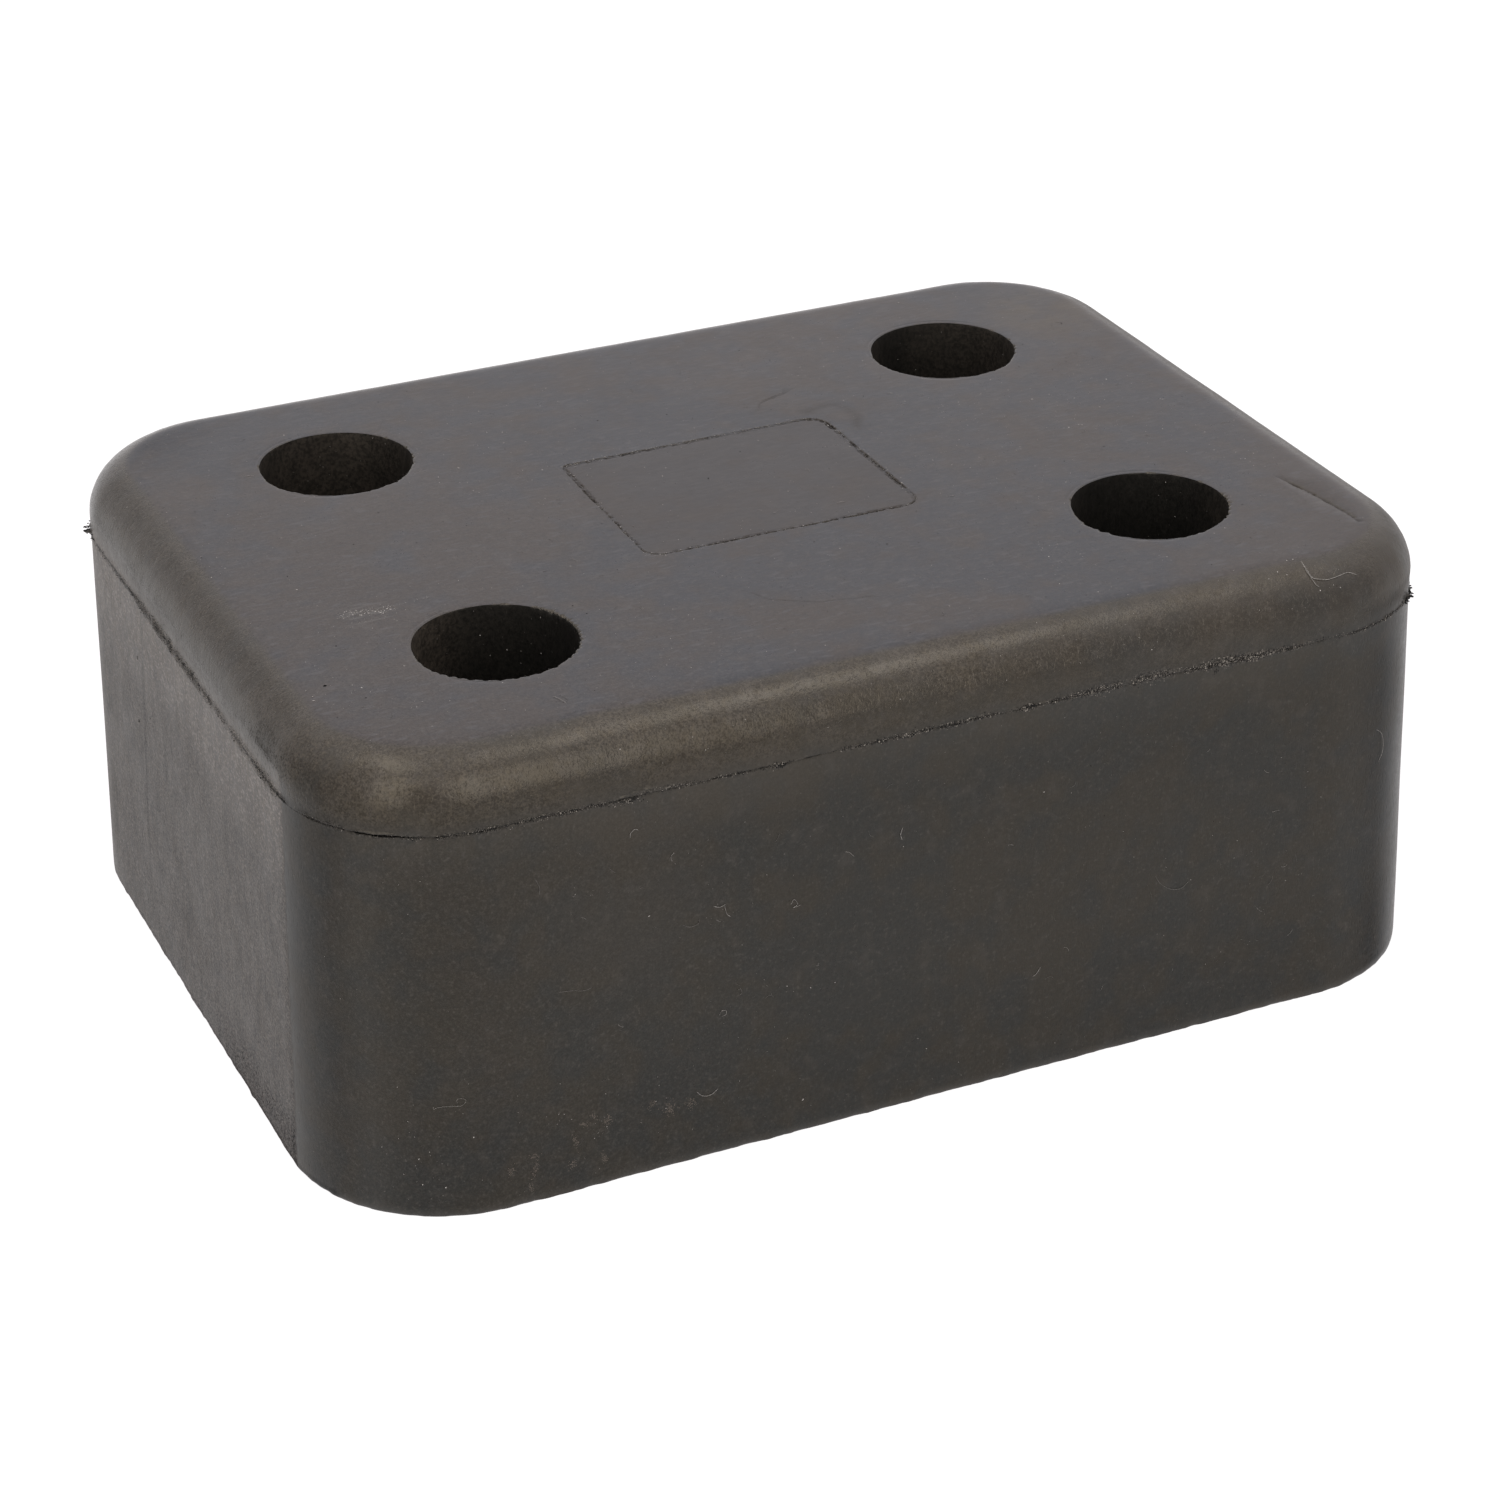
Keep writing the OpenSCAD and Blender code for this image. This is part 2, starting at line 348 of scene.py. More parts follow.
def rim_wear(name):
    """How far the rim is worn back at each angle, in mm."""
    hole = list(HOLES).index(name)
    wear = 0.05 + 0.035 * fbm(np.c_[np.cos(ANG) * 8, np.sin(ANG) * 8, np.full(NH, hole * 3.3)], 51, 2)
    wear += 0.05 * np.clip(fbm(np.c_[np.cos(ANG) * 31, np.sin(ANG) * 31, np.full(NH, hole * 5.1)], 53, 1), 0, 1)
    for a, w, d in ROUNDED[name]:
        da = (np.degrees(ANG) - a + 180) % 360 - 180
        wear += d * np.exp(-(da / w) ** 4) * np.clip(0.75 + 0.9 * fbm(np.c_[np.cos(ANG) * 14, np.sin(ANG) * 14, np.full(NH, hole * 2.7)], 55, 2), 0, 2)
    for a, w, d in NICKS[name]:
        da = (np.degrees(ANG) - a + 180) % 360 - 180
        wear += d * np.exp(-(da / w) ** 2)
    return np.clip(wear, 0.02, 0.95)


WEAR = {k: rim_wear(k) for k in HOLES}
top_ids, top_pts, edges = [], [], []       # all that lies in the flat top before relief


def flat(points, ids, closed=False):
    a = len(top_pts)
    top_pts.extend([(float(x), float(y)) for x, y in points])
    top_ids.extend(ids)
    if closed:
        n = len(points)
        edges.extend([(a + j, a + (j + 1) % n) for j in range(n)])


flat(np.array(V)[TOP_LOOP][:, :2], TOP_LOOP, True)
RIM_LOOP = {}
for name, (cx, cy) in HOLES.items():
    for k, r in enumerate((13.0, 13.12, 13.26, 13.42, 13.62, 13.82, 14.05, 14.5, 15.6)):
        ang = ANG if k < 6 else ANG[::2]
        pts = np.c_[cx + r * np.cos(ang), cy + r * np.sin(ang)]
        ids = add(np.c_[pts, np.full(len(pts), H)])
        flat(pts, ids, True)
        if k == 0:
            RIM_LOOP[name] = ids


# corners of the panel's outline as it was cut, with their radii, counter-clockwise
PANEL = ((24.6, -20.15, 3.4), (24.65, 19.75, 3.6), (-24.0, 19.3, 1.5), (-24.5, -19.85, 3.0))


def panel_outline(step):
    """Points and outward normals along the panel's outline."""
    pts, nrm = [], []
    n = len(PANEL)
    ends = []
    for k in range(n):
        p0, p1, p2 = (np.array(PANEL[(k + j) % n][:2]) for j in (-1, 0, 1))
        r = PANEL[k][2]
        d0, d1 = (p1 - p0) / np.linalg.norm(p1 - p0), (p2 - p1) / np.linalg.norm(p2 - p1)
        turn = math.atan2(d0[0] * d1[1] - d0[1] * d1[0], d0 @ d1)
        start = p1 - d0 * r * math.tan(turn / 2)
        centre = start + r * np.array((-d0[1], d0[0]))
        ends.append((start, centre, r, turn, p1 + d1 * r * math.tan(turn / 2), d1))
    for k in range(n):
        start, centre, r, turn, end, d1 = ends[k]
        a0 = math.atan2(start[1] - centre[1], start[0] - centre[0])
        m = max(8, round(r * turn / step))
        for j in range(m):
            a = a0 + turn * j / m
            nrm.append((math.cos(a), math.sin(a)))
            pts.append((centre[0] + r * math.cos(a), centre[1] + r * math.sin(a)))
        nxt = ends[(k + 1) % n][0]
        m = round(float(np.linalg.norm(nxt - end)) / step)
        for j in range(m):
            pts.append(tuple(end + (nxt - end) * j / m))
            nrm.append((d1[1], -d1[0]))
    return np.array(pts), np.array(nrm)


for off in (-0.95, -0.70, -0.52, -0.39, -0.28, -0.18, -0.09, 0.0, 0.09, 0.18, 0.28, 0.39, 0.52, 0.70, 0.95):
    pts, nrm = panel_outline(0.36 if abs(off) < 0.6 else 0.72)
    pts = pts + nrm * off
    flat(pts, add(np.c_[pts, np.full(len(pts), H)]), True)

CREASE = ((83.4, -39.3), (84.6, -45.0), (85.2, -50.1), (85.7, -55.0), (85.7, -58.6))  # a crease near the right end
ARC = ((23.4, 22.4), (28.8, 23.8), (30.7, 20.7), (30.6, 16.5), (28.4, 12.6))            # a soft curved smear at the panel's corner
FAINT = ((16.3, 26.6), (17.5, 29.2), (19.4, 30.0), (21.4, 30.8), (23.4, 31.4))      # a faint mark behind the panel
HAIRLINE = ((-15.4, -39.1), (-13.7, -42.8), (-6.9, -46.9), (1.9, -48.7))            # a hairline in front of it


def seg_dist(x, y, pts):
    best = np.full(len(x), 1e9)
    for (x0, y0), (x1, y1) in zip(pts[:-1], pts[1:]):
        t = np.clip(((x - x0) * (x1 - x0) + (y - y0) * (y1 - y0)) / ((x1 - x0) ** 2 + (y1 - y0) ** 2), 0, 1)
        best = np.minimum(best, np.hypot(x - x0 - t * (x1 - x0), y - y0 - t * (y1 - y0)))
    return best


for mark in (CREASE, FAINT, HAIRLINE):
    for (x0, y0), (x1, y1) in zip(mark[:-1], mark[1:]):
        ln = math.dist((x0, y0), (x1, y1))
        nx, ny = -(y1 - y0) / ln, (x1 - x0) / ln
        m = max(2, round(ln / 0.45))
        for off in (-0.5, -0.18, 0.0, 0.18, 0.5):
            q = [(x0 + (x1 - x0) * (j + 0.5) / m + nx * off, y0 + (y1 - y0) * (j + 0.5) / m + ny * off) for j in range(m)]
            flat(q, add([(x, y, H) for x, y in q]))


for (x0, y0), (x1, y1) in zip(ARC[:-1], ARC[1:]):
    ln = math.dist((x0, y0), (x1, y1))
    nx, ny = -(y1 - y0) / ln, (x1 - x0) / ln
    m = max(2, round(ln / 0.9))
    for off in (-1.5, -0.75, 0.0, 0.75, 1.5):
        q = [(x0 + (x1 - x0) * (j + 0.5) / m + nx * off, y0 + (y1 - y0) * (j + 0.5) / m + ny * off) for j in range(m)]
        q = [p for p in q if p[0] > 26.4 or p[1] > 21.4]
        flat(q, add([(x, y, H) for x, y in q]))

OUT_P, OUT_N = panel_outline(0.30)


def panel_dist(x, y):
    """Signed distance from the panel's outline, negative inside, 9 well away from it."""
    best, sign = np.full(len(x), 9.0), np.ones(len(x))
    near = (np.abs(x) < 30) & (np.abs(y) < 26)
    q = np.c_[x[near], y[near]]
    d, s = np.full(len(q), 1e9), np.ones(len(q))
    nxt = np.roll(OUT_P, -1, 0)
    for a, b, n in zip(OUT_P, nxt, OUT_N):
        ab = b - a
        t = np.clip((q - a) @ ab / (ab @ ab), 0, 1)
        v = q - a - t[:, None] * ab
        k = np.hypot(v[:, 0], v[:, 1])
        closer = k < d
        d[closer] = k[closer]
        s[closer] = np.where(v[closer] @ n >= 0, 1.0, -1.0)
    best[near], sign[near] = np.minimum(d, 9.0), s
    return best * sign


# a jittered grid fills the rest of the top
gx, gy = np.meshgrid(np.arange(-87, 87.1, 2.6), np.arange(-62.4, 62.5, 2.6))
g = np.c_[gx.ravel(), gy.ravel()] + RNG.uniform(-0.8, 0.8, (gx.size, 2))
ok = np.ones(len(g), bool)
for cx, cy in HOLES.values():
    ok &= np.hypot(g[:, 0] - cx, g[:, 1] - cy) > 17.4
ok &= np.abs(panel_dist(g[:, 0], g[:, 1])) > 2.4
for mark in (CREASE, FAINT, HAIRLINE):
    ok &= seg_dist(g[:, 0], g[:, 1], mark) > 1.3
ok &= seg_dist(g[:, 0], g[:, 1], ARC) > 1.9
qx, qy = np.maximum(np.abs(g[:, 0]) - AX, 0), np.maximum(np.abs(g[:, 1]) - AY, 0)
ok &= np.hypot(qx, qy) < CORNER_R - EDGE_R - 1.2
g = g[ok]
flat(g, add(np.c_[g, np.full(len(g), H)]))


def cap(points, ids, loops, up_side, hole_r):
    """Triangles over a flat region bounded by loops, open at the holes. Nothing outside the outer loop is kept."""
    res = delaunay_2d_cdt([Vector(p) for p in points], loops, [], 1, 1e-5)
    verts, tris, orig = res[0], res[2], res[3]
    m = [ids[o[0]] if len(o) else None for o in orig]
    assert all(k is not None for k in m), "the flat cap made a point of its own"
    xy = np.array([(v.x, v.y) for v in verts])
    for t in tris:
        c = xy[list(t)].mean(0)
        if any(math.hypot(c[0] - cx, c[1] - cy) < hole_r * math.cos(math.pi / NH) - 1e-6 for cx, cy in HOLES.values()):
            continue
        a, b, d = xy[t[0]], xy[t[1]], xy[t[2]]
        turn = (b[0] - a[0]) * (d[1] - a[1]) - (b[1] - a[1]) * (d[0] - a[0])
        if abs(turn) < 1e-9:
            continue
        tri = [m[t[0]], m[t[1]], m[t[2]]]
        if (turn > 0) != up_side:
            tri.reverse()
        F.append(tuple(tri))


cap(top_pts, top_ids, edges, True, R_SOCK)

# walls of the holes, from the rim down to the seat, in to the shank and down to the base
base_pts, base_ids, base_edges = [], [], []


def base_loop(ids, pts):
    a = len(base_pts)
    base_pts.extend([(float(x), float(y)) for x, y in pts])
    base_ids.extend(ids)
    base_edges.extend([(a + j, a + (j + 1) % len(ids)) for j in range(len(ids))])


base_loop(BASE_LOOP, np.array(V)[BASE_LOOP][:, :2])
for name, (cx, cy) in HOLES.items():
    prev = RIM_LOOP[name]
    steps = [(R_SOCK, z) for z in (77.86, 77.62, 77.25, 76.6, 75.3, 72.5, 68, 61, 50, 38, 27, 21, 20.0)]
    steps += [(r, SEAT) for r in (12.2, 9.6, R_SHANK)] + [(R_SHANK, z) for z in (19.4, 10, 0.6, 0.0)]
    for k, (r, z) in enumerate(steps):
        ang = ANG if k < 5 else ANG[::2]
        row = add(np.c_[cx + r * np.cos(ang), cy + r * np.sin(ang), np.full(len(ang), z)], 1)
        # both rows run clockwise here and start at the same angle
        link(np.roll(row[::-1], 1), np.roll(prev[::-1], 1))
        prev = row
    base_loop(prev, np.c_[cx + R_SHANK * np.cos(ANG[::2]), cy + R_SHANK * np.sin(ANG[::2])])
gx, gy = np.meshgrid(np.arange(-90, 91, 9.0), np.arange(-66, 67, 8.25))
g = np.c_[gx.ravel(), gy.ravel()] + RNG.uniform(-1.5, 1.5, (gx.size, 2))
ok = np.ones(len(g), bool)
for cx, cy in HOLES.values():
    ok &= np.hypot(g[:, 0] - cx, g[:, 1] - cy) > 10.0
qx, qy = np.maximum(np.abs(g[:, 0]) - AX, 0), np.maximum(np.abs(g[:, 1]) - AY, 0)
ok &= np.hypot(qx, qy) < BASE_R - 4
g = g[ok]
base_pts += [(float(a), float(b)) for a, b in g]
base_ids += list(add(np.c_[g, np.zeros(len(g))]))
cap(base_pts, base_ids, base_edges, False, R_SHANK)

# ------------------------------------------------------------------ relief
P0 = np.array(V, float)
P = P0.copy()
TAG, SEAM = np.array(TAG), np.array(SEAM)
x, y, z = P0.T
zero = z * 0
# soft unevenness of the moulding, none at the base
amp = smooth(z, 0.0, 12.0) * 0.08
for axis in range(3):
    P[:, axis] += amp * fbm(P0 / 31.0, 61 + axis, 2) * (1.0 if axis < 2 else 0.7)
# short ripples on the rounded edge, more at the corners
qx, qy = np.maximum(np.abs(x) - AX, 0), np.maximum(np.abs(y) - AY, 0)
edge = smooth(z, 68.2, 70.5) * (1 - smooth(z, 77.2, 77.9)) * (TAG == 0)
cornerness = smooth(np.minimum(qx, qy), 1.0, 8.0)
ripple = fbm(np.c_[x / 5.5, y / 5.5, z / 2.4], 67, 2) + 0.45 * fbm(np.c_[x / 2.0, y / 2.0, z / 1.6], 68, 2)
nr = np.hypot(qx, qy) + 1e-9
out = edge * (0.035 + 0.05 * cornerness) * ripple
P[:, 0] += out * np.sign(x) * qx / nr
P[:, 1] += out * np.sign(y) * qy / nr
P[:, 2] += out * 0.6
top = (z > H - 1e-6) & (TAG == 0)
# the groove around the panel, and the panel a hair lower than the rest
d = panel_dist(x, y)
gn = fbm(np.c_[x / 0.55, y / 0.55, zero], 71, 2)
gl = fbm(np.c_[x / 8.0, y / 8.0, zero], 72, 2)
wander = 0.10 * fbm(np.c_[x / 3.2, y / 3.2, zero], 73, 2)
dw = d + wander
# two scored lines side by side; the inner one comes and goes
on_r, on_l = smooth(x, 23.2, 24.0), smooth(-x, 22.8, 23.6)
on_b, on_f = smooth(y, 18.3, 19.0) * (1 - on_r) * (1 - on_l), smooth(-y, 18.7, 19.4) * (1 - on_r) * (1 - on_l)
zone = 0.80 + 0.50 * gl + on_r * (0.95 * bell(y + 10.0, 2.3) + 0.55 * bell(y - 1.2, 0.9) + 0.45 * bell(y - 15.5, 2.5) - 0.12)
zone += on_f * (0.45 * bell(x - 15, 3) + 0.35 * bell(x - 7, 2) + 0.35 * bell(x + 10, 2.5)) + on_l * (0.45 * bell(y - 5.5, 2.6) + 0.25 * bell(y + 8, 2) - 0.05) - 0.18 * on_b
outer = np.clip(zone * (0.85 + 1.15 * gn), 0.10, 1.6)
inner = np.clip(0.12 + 0.45 * gl + 0.7 * gn + on_l * (0.55 * smooth(y, 6, 9) - 0.1) + 0.35 * on_r * smooth(y, 11, 14) + 0.2 * on_b, 0.0, 1.0)
band_o, band_i = bell(dw - 0.12, 0.23), bell(dw + 0.36, 0.18)
relief = -0.19 * outer * band_o - 0.16 * inner * band_i
relief += 0.07 * bell(dw - 0.42, 0.16) * np.clip(0.2 + 1.6 * gn, 0, 1.5)
relief += -0.05 * (1 - smooth(d, -0.5, 0.1))
# painted shade: DARK darkens the grooves, the crease and the fainter marks in colour; in the grooves and the crease it
# stands in for the shade of their depth
DARK = np.clip(1.30 * outer * band_o + 1.0 * inner * band_i + 0.20 * (1 + gn) * bell(dw + 0.10, 0.42), 0, 1.2) * top
for mark, deep, wide, dark in ((CREASE, 0.26, 0.30, 0.75), (FAINT, 0.06, 0.20, 0.50), (HAIRLINE, 0.035, 0.2, 0.45)):
    cr = seg_dist(x, y, mark)
    relief += -deep * (0.8 + 0.4 * gn) * bell(cr, wide) * (cr < 3)
    DARK = np.maximum(DARK, dark * (0.8 + 0.6 * gn) * bell(cr, wide) * (cr < 3) * top)
# a soft curved smear by the panel's back right corner
arc = seg_dist(x, y, ARC)
relief += -0.02 * bell(arc, 0.8)
SMEAR = bell(arc, 0.95) * (0.75 + 0.5 * fbm(np.c_[x / 3.0, y / 3.0, zero], 76, 2)) * top
relief += 0.010 * fbm(np.c_[x / 2.2, y / 2.2, zero], 75, 2)
P[top, 2] += relief[top]
# worn rims
RIM, BORE = np.full(len(P0), 3.0), np.zeros(len(P0))
BORE_DUST_AND_LIGHT = {      # angle in degrees and how pale the wall is there, from dust and from painted light on the hole's lit side
    "left_back": ((-20, 0.55), (10, 0.50), (35, 0.55), (60, 0.78), (90, 0.76), (120, 0.74), (140, 0.62), (165, 0.85), (190, 0.85)),
    "left_front": ((-20, 0.25), (10, 0.10), (40, 0.10), (60, 0.12), (85, 0.20), (100, 0.42), (115, 1.0), (128, 1.3), (145, 1.6), (165, 1.8), (190, 1.2)),
    "right_back": ((-20, 0.62), (20, 0.60), (60, 0.44), (88, 0.38), (100, 0.15), (118, 0.20), (130, 0.50), (155, 0.65), (190, 0.6)),
    "right_front": ((-20, 0.50), (0, 0.45), (25, 0.12), (70, 0.06), (110, 0.08), (130, 0.25), (160, 0.5), (185, 0.5))}
for name, (cx, cy) in HOLES.items():
    w = WEAR[name]
    rr = np.hypot(x - cx, y - cy)
    aa = np.arctan2(y - cy, x - cx) % (2 * math.pi)
    wi = np.interp(aa, np.append(ANG, 2 * math.pi), np.append(w, w[0]))
    on_top = (rr < 17.5) & (z > 70) & (TAG == 0)
    out_r = np.maximum(rr - R_SOCK, 0)
    drop = 0.80 * wi * np.exp(-(out_r / (0.16 + 0.45 * wi)) ** 1.8) + 0.04 * bell(out_r, 1.2)
    # a fine scored ring around part of the rim
    scored = np.clip(0.5 + 1.2 * fbm(np.c_[np.cos(aa) * 2.2, np.sin(aa) * 2.2, zero + cx], 57, 1), 0, 1)
    drop += 0.10 * scored * bell(out_r - 0.72, 0.12) - 0.04 * scored * bell(out_r - 0.45, 0.12)
    P[on_top, 2] -= drop[on_top]
    push = 0.50 * wi * bell(out_r, 0.22)
    sel = on_top & (rr < 13.25)
    P[sel, 0] += (np.cos(aa) * push)[sel]
    P[sel, 1] += (np.sin(aa) * push)[sel]
    side = (rr < R_SOCK + 0.5) & (TAG == 1) & (z > SEAT + 0.1)
    draw = 0.015 * fbm(np.c_[np.cos(aa) * 9, np.sin(aa) * 9, z / 30.0 + cx], 81, 2) + 0.06 * fbm(np.c_[x / 8.0, y / 8.0, z / 8.0], 83, 2)
    low = np.exp(-np.maximum(H - z, 0) / 0.45)
    outw = draw + 0.50 * wi * low
    P[side, 0] += (np.cos(aa) * outw)[side]
    P[side, 1] += (np.sin(aa) * outw)[side]
    P[side, 2] -= (0.55 * wi * low)[side]
    near = (rr < 17.5) & ((TAG == 1) | (z > 70))
    k = np.array(BORE_DUST_AND_LIGHT[name])
    BORE[near & (TAG == 1)] = (0.001 + np.clip(0.47 * np.interp(np.degrees(aa), k[:, 0], k[:, 1], period=360), 0, 1))[near & (TAG == 1)]
    RIM[near] = np.where(TAG[near] == 1, np.where(rr[near] > R_SOCK - 0.6, H - z[near], 3.0), out_r[near])
RIM = np.clip(RIM, 0, 3)
GROOVE = np.where(top, np.clip(d, -3, 3), 3.0)
CRACK, TORN = np.zeros(len(P0)), np.zeros(len(P0))
for ids, open_, torn in RAGGED:
    CRACK[ids], TORN[ids] = open_, torn
# stay inside the solid's box
P[:, 0] = np.clip(P[:, 0], -100, 100)
P[:, 1] = np.clip(P[:, 1], -75, 75)
P[:, 2] = np.clip(P[:, 2], 0, H)


def make_mesh(name, verts, faces, smooth_all=True, sharp=None, attrs=None, slots=None):
    me = bpy.data.meshes.new(name)
    me.from_pydata((np.asarray(verts, float) * MM).tolist(), [], [tuple(int(i) for i in f) for f in faces])
    me.update()
    if smooth_all:
        me.shade_smooth()
    else:
        me.shade_flat()
    if sharp:
        me.set_sharp_from_angle(angle=math.radians(sharp))
    for key, values in (attrs or {}).items():
        at_ = me.attributes.new(key, "FLOAT", "POINT")
        at_.data.foreach_set("value", np.asarray(values, np.float32))
    if slots is not None:
        me.polygons.foreach_set("material_index", np.asarray(slots, np.int32))
    ob = bpy.data.objects.new(name, me)
    scene.collection.objects.link(ob)
    return ob


block = make_mesh("buffer_block_moulding", P, F, sharp=40, attrs={"crack": CRACK, "torn": TORN, "rim_d": RIM, "groove_d": GROOVE, "dark": DARK, "smear": SMEAR, "bore": BORE})
print("block triangles", sum(len(f) - 2 for f in F))


# ------------------------------------------------------------------ places on the block
def spot(side, a, b):
    """A point of the block and its outward normal. Top: x, y. Front and back: x, z. Left and right: y, z. Corners: degrees, z. Edges ef, el: x or y, degrees up."""
    if side == "top":
        return np.array((a, b, H)), np.array((0, 0, 1.0))
    r = float(rho(np.array(b)))
    if side == "front":
        return np.array((a, -AY - r, b)), np.array((0, -1.0, 0))
    if side == "back":
        return np.array((a, AY + r, b)), np.array((0, 1.0, 0))
    if side == "left":
        return np.array((-AX - r, a, b)), np.array((-1.0, 0, 0))
    if side == "right":
        return np.array((AX + r, a, b)), np.array((1.0, 0, 0))
    if side in ("ef", "el"):
        c, s = math.cos(math.radians(b)), math.sin(math.radians(b))
        k, zz = CORNER_R - EDGE_R + EDGE_R * c, H - EDGE_R + EDGE_R * s
        return (np.array((a, -AY - k, zz)), np.array((0, -c, s))) if side == "ef" else (np.array((-AX - k, a, zz)), np.array((-c, 0, s)))
    t = math.radians(a)
    n = np.array((math.cos(t), math.sin(t), 0.0))
    cx, cy = (AX if n[0] > 0 else -AX), (AY if n[1] > 0 else -AY)
    return np.array((cx + n[0] * r, cy + n[1] * r, b)), n


def surface(x_, y_, z_):
    """Outward normal of the block at a point given on its surface."""
    q_ = np.array((max(abs(x_) - AX, 0.0) * np.sign(x_), max(abs(y_) - AY, 0.0) * np.sign(y_)))
    k = np.hypot(*q_)
    if z_ > H - 0.01 or k < 1e-6:
        return np.array((0, 0, 1.0))
    side = q_ / k
    if z_ <= H - EDGE_R:
        return np.array((side[0], side[1], 0.0))
    n = np.array((side[0] * max(k - CORNER_R + EDGE_R, 0.0), side[1] * max(k - CORNER_R + EDGE_R, 0.0), z_ - H + EDGE_R))
    return n / np.linalg.norm(n)


GOLD = (1 + 5 ** 0.5) / 2
ICO_V = np.array([(-1, GOLD, 0), (1, GOLD, 0), (-1, -GOLD, 0), (1, -GOLD, 0), (0, -1, GOLD), (0, 1, GOLD), (0, -1, -GOLD), (0, 1, -GOLD),
                  (GOLD, 0, -1), (GOLD, 0, 1), (-GOLD, 0, -1), (-GOLD, 0, 1)]) / math.sqrt(1 + GOLD ** 2)
ICO_F = np.array([(0, 11, 5), (0, 5, 1), (0, 1, 7), (0, 7, 10), (0, 10, 11), (1, 5, 9), (5, 11, 4), (11, 10, 2), (10, 7, 6), (7, 1, 8),
                  (3, 9, 4), (3, 4, 2), (3, 2, 6), (3, 6, 8), (3, 8, 9), (4, 9, 5), (2, 4, 11), (6, 2, 10), (8, 6, 7), (9, 8, 1)])


def frame_of(n):
    t = np.cross(n, (0, 0, 1.0) if abs(n[2]) < 0.9 else (1.0, 0, 0))
    t /= np.linalg.norm(t)
    return t, np.cross(n, t)


OCT_V = np.array([(1, 0, 0), (-1, 0, 0), (0, 1, 0), (0, -1, 0), (0, 0, 1), (0, 0, -1)], float)
OCT_F = np.array([(0, 2, 4), (2, 1, 4), (1, 3, 4), (3, 0, 4), (2, 0, 5), (1, 2, 5), (3, 1, 5), (0, 3, 5)])


def grains(name, items, rng):
    """Small uneven lumps. items: point, normal, radius, height as a share of the radius, length as a share, slot."""
    vs, fs, slots, base = [], [], [], 0
    for p, n, r, tall, long_, slot in items:
        t, b = frame_of(n)
        a = rng.uniform(0, math.pi)
        t, b = t * math.cos(a) + b * math.sin(a), b * math.cos(a) - t * math.sin(a)
        sv, sf = (OCT_V, OCT_F) if r < 0.10 else (ICO_V, ICO_F)
        v = sv * (r * rng.uniform(0.62, 1.25, (len(sv), 1)))
        vs.append(p + np.outer(v[:, 0] * long_, t) + np.outer(v[:, 1], b) + np.outer(v[:, 2] * tall, n))
        fs.append(sf + base)
        base += len(sv)
        slots += [slot] * len(sf)
    q = np.concatenate(vs)
    q[:, 0], q[:, 1], q[:, 2] = np.clip(q[:, 0], -100, 100), np.clip(q[:, 1], -75, 75), np.clip(q[:, 2], 0, H)
    return make_mesh(name, q, np.concatenate(fs), smooth_all=False, slots=slots)


def on_line(i, t):
    """Points and normals on the parting line's relief at columns i and heights t."""
    i, t = np.atleast_1d(i), np.atleast_1d(t)
    c = FINE[i]
    sh = tuple(k[i] for k in SHAPE)
    zz = PART_Z + t + sh[0]
    r = rho(zz) + line_relief(c, t, sh)
    return np.c_[c[:, 0] + c[:, 2] * r, c[:, 1] + c[:, 3] * r, zz], np.c_[c[:, 2], c[:, 3], np.zeros(len(i))]


# torn crumbs along the parting line: slot 0 is bare rubber, slot 1 is pale and dusty
rng = np.random.default_rng(23)
dens, pale_share, shift_t, spread_t = SHAPE[3], SHAPE[4], SHAPE[5], SHAPE[6]
seen = np.where((FINE[:, 3] < 0.3) & (FINE[:, 2] < 0.8), 1.0, 0.45)
weight = dens * (0.4 + spread_t) * seen
weight /= weight.sum()
ringp = ring(FINE)
idx = rng.choice(len(FINE), 21000, p=weight)
ts = np.clip(shift_t[idx] + spread_t[idx] * rng.normal(0, 0.85, len(idx)), -1.2, 1.4)
pts, nrm = on_line(idx, ts)
items = []
for i, p, n in zip(idx, pts, nrm):
    side_left = FINE[i, 2] < -0.6
    r = float(np.clip(rng.lognormal(math.log(0.048), 0.36) * (0.85 + 0.25 * dens[i]), 0.025, 0.15))
    is_pale = rng.random() < pale_share[i] * (0.75 if side_left else 0.8)
    items.append((p + n * r * 0.2, n, r * (0.85 if side_left else 1.0), 0.8, rng.uniform(0.8, 1.9), int(is_pale)))
for x_, t_, n_, sx_, st_ in ((-50.5, -0.50, 64, 0.75, 0.20), (-26.3, -0.25, 26, 0.55, 0.15), (16.8, -0.05, 46, 0.55, 0.24), (50.4, -1.2, 18, 0.25, 0.30)):
    i = np.argmin(np.abs(ringp[:, 0] - x_) + 9 * (FINE[:, 3] > -0.5)) + np.rint(rng.normal(0, sx_ / 0.31, n_)).astype(int)
    for p, n in zip(*on_line(i % len(FINE), rng.normal(t_, st_, n_))):
        items.append((p + n * 0.04, n, rng.uniform(0.05, 0.13), 0.8, 1.2, int(rng.random() < 0.22)))
for x_, y_, h_, w_ in SPIKES:
    i0 = int(np.argmin(np.hypot(ringp[:, 0] - x_, ringp[:, 1] - y_)))
    k = int(16 * h_) + 4
    i = (i0 + rng.normal(0, 2.4, k).astype(int)) % len(FINE)
    for p, n in zip(*on_line(i, rng.normal(0.05, 0.34, k))):
        items.append((p + n * rng.uniform(0.1, 1.0) * h_, n, rng.uniform(0.07, 0.17), rng.uniform(0.8, 2.4), 1.0, 0))
crumbs = grains("parting_line_crumbs", items, rng)

# dust: slot 0 pale, slot 1 greyer
rng = np.random.default_rng(31)
items = []


def dust(side, a, b, r, slot=0, tall=0.6, long_=1.0):
    p, n = spot(side, a, b)
    items.append((p, n, r, tall, long_, slot))


def clear_of_holes(a, b):
    return all(math.hypot(a - cx, b - cy) > 13.8 for cx, cy in HOLES.values())


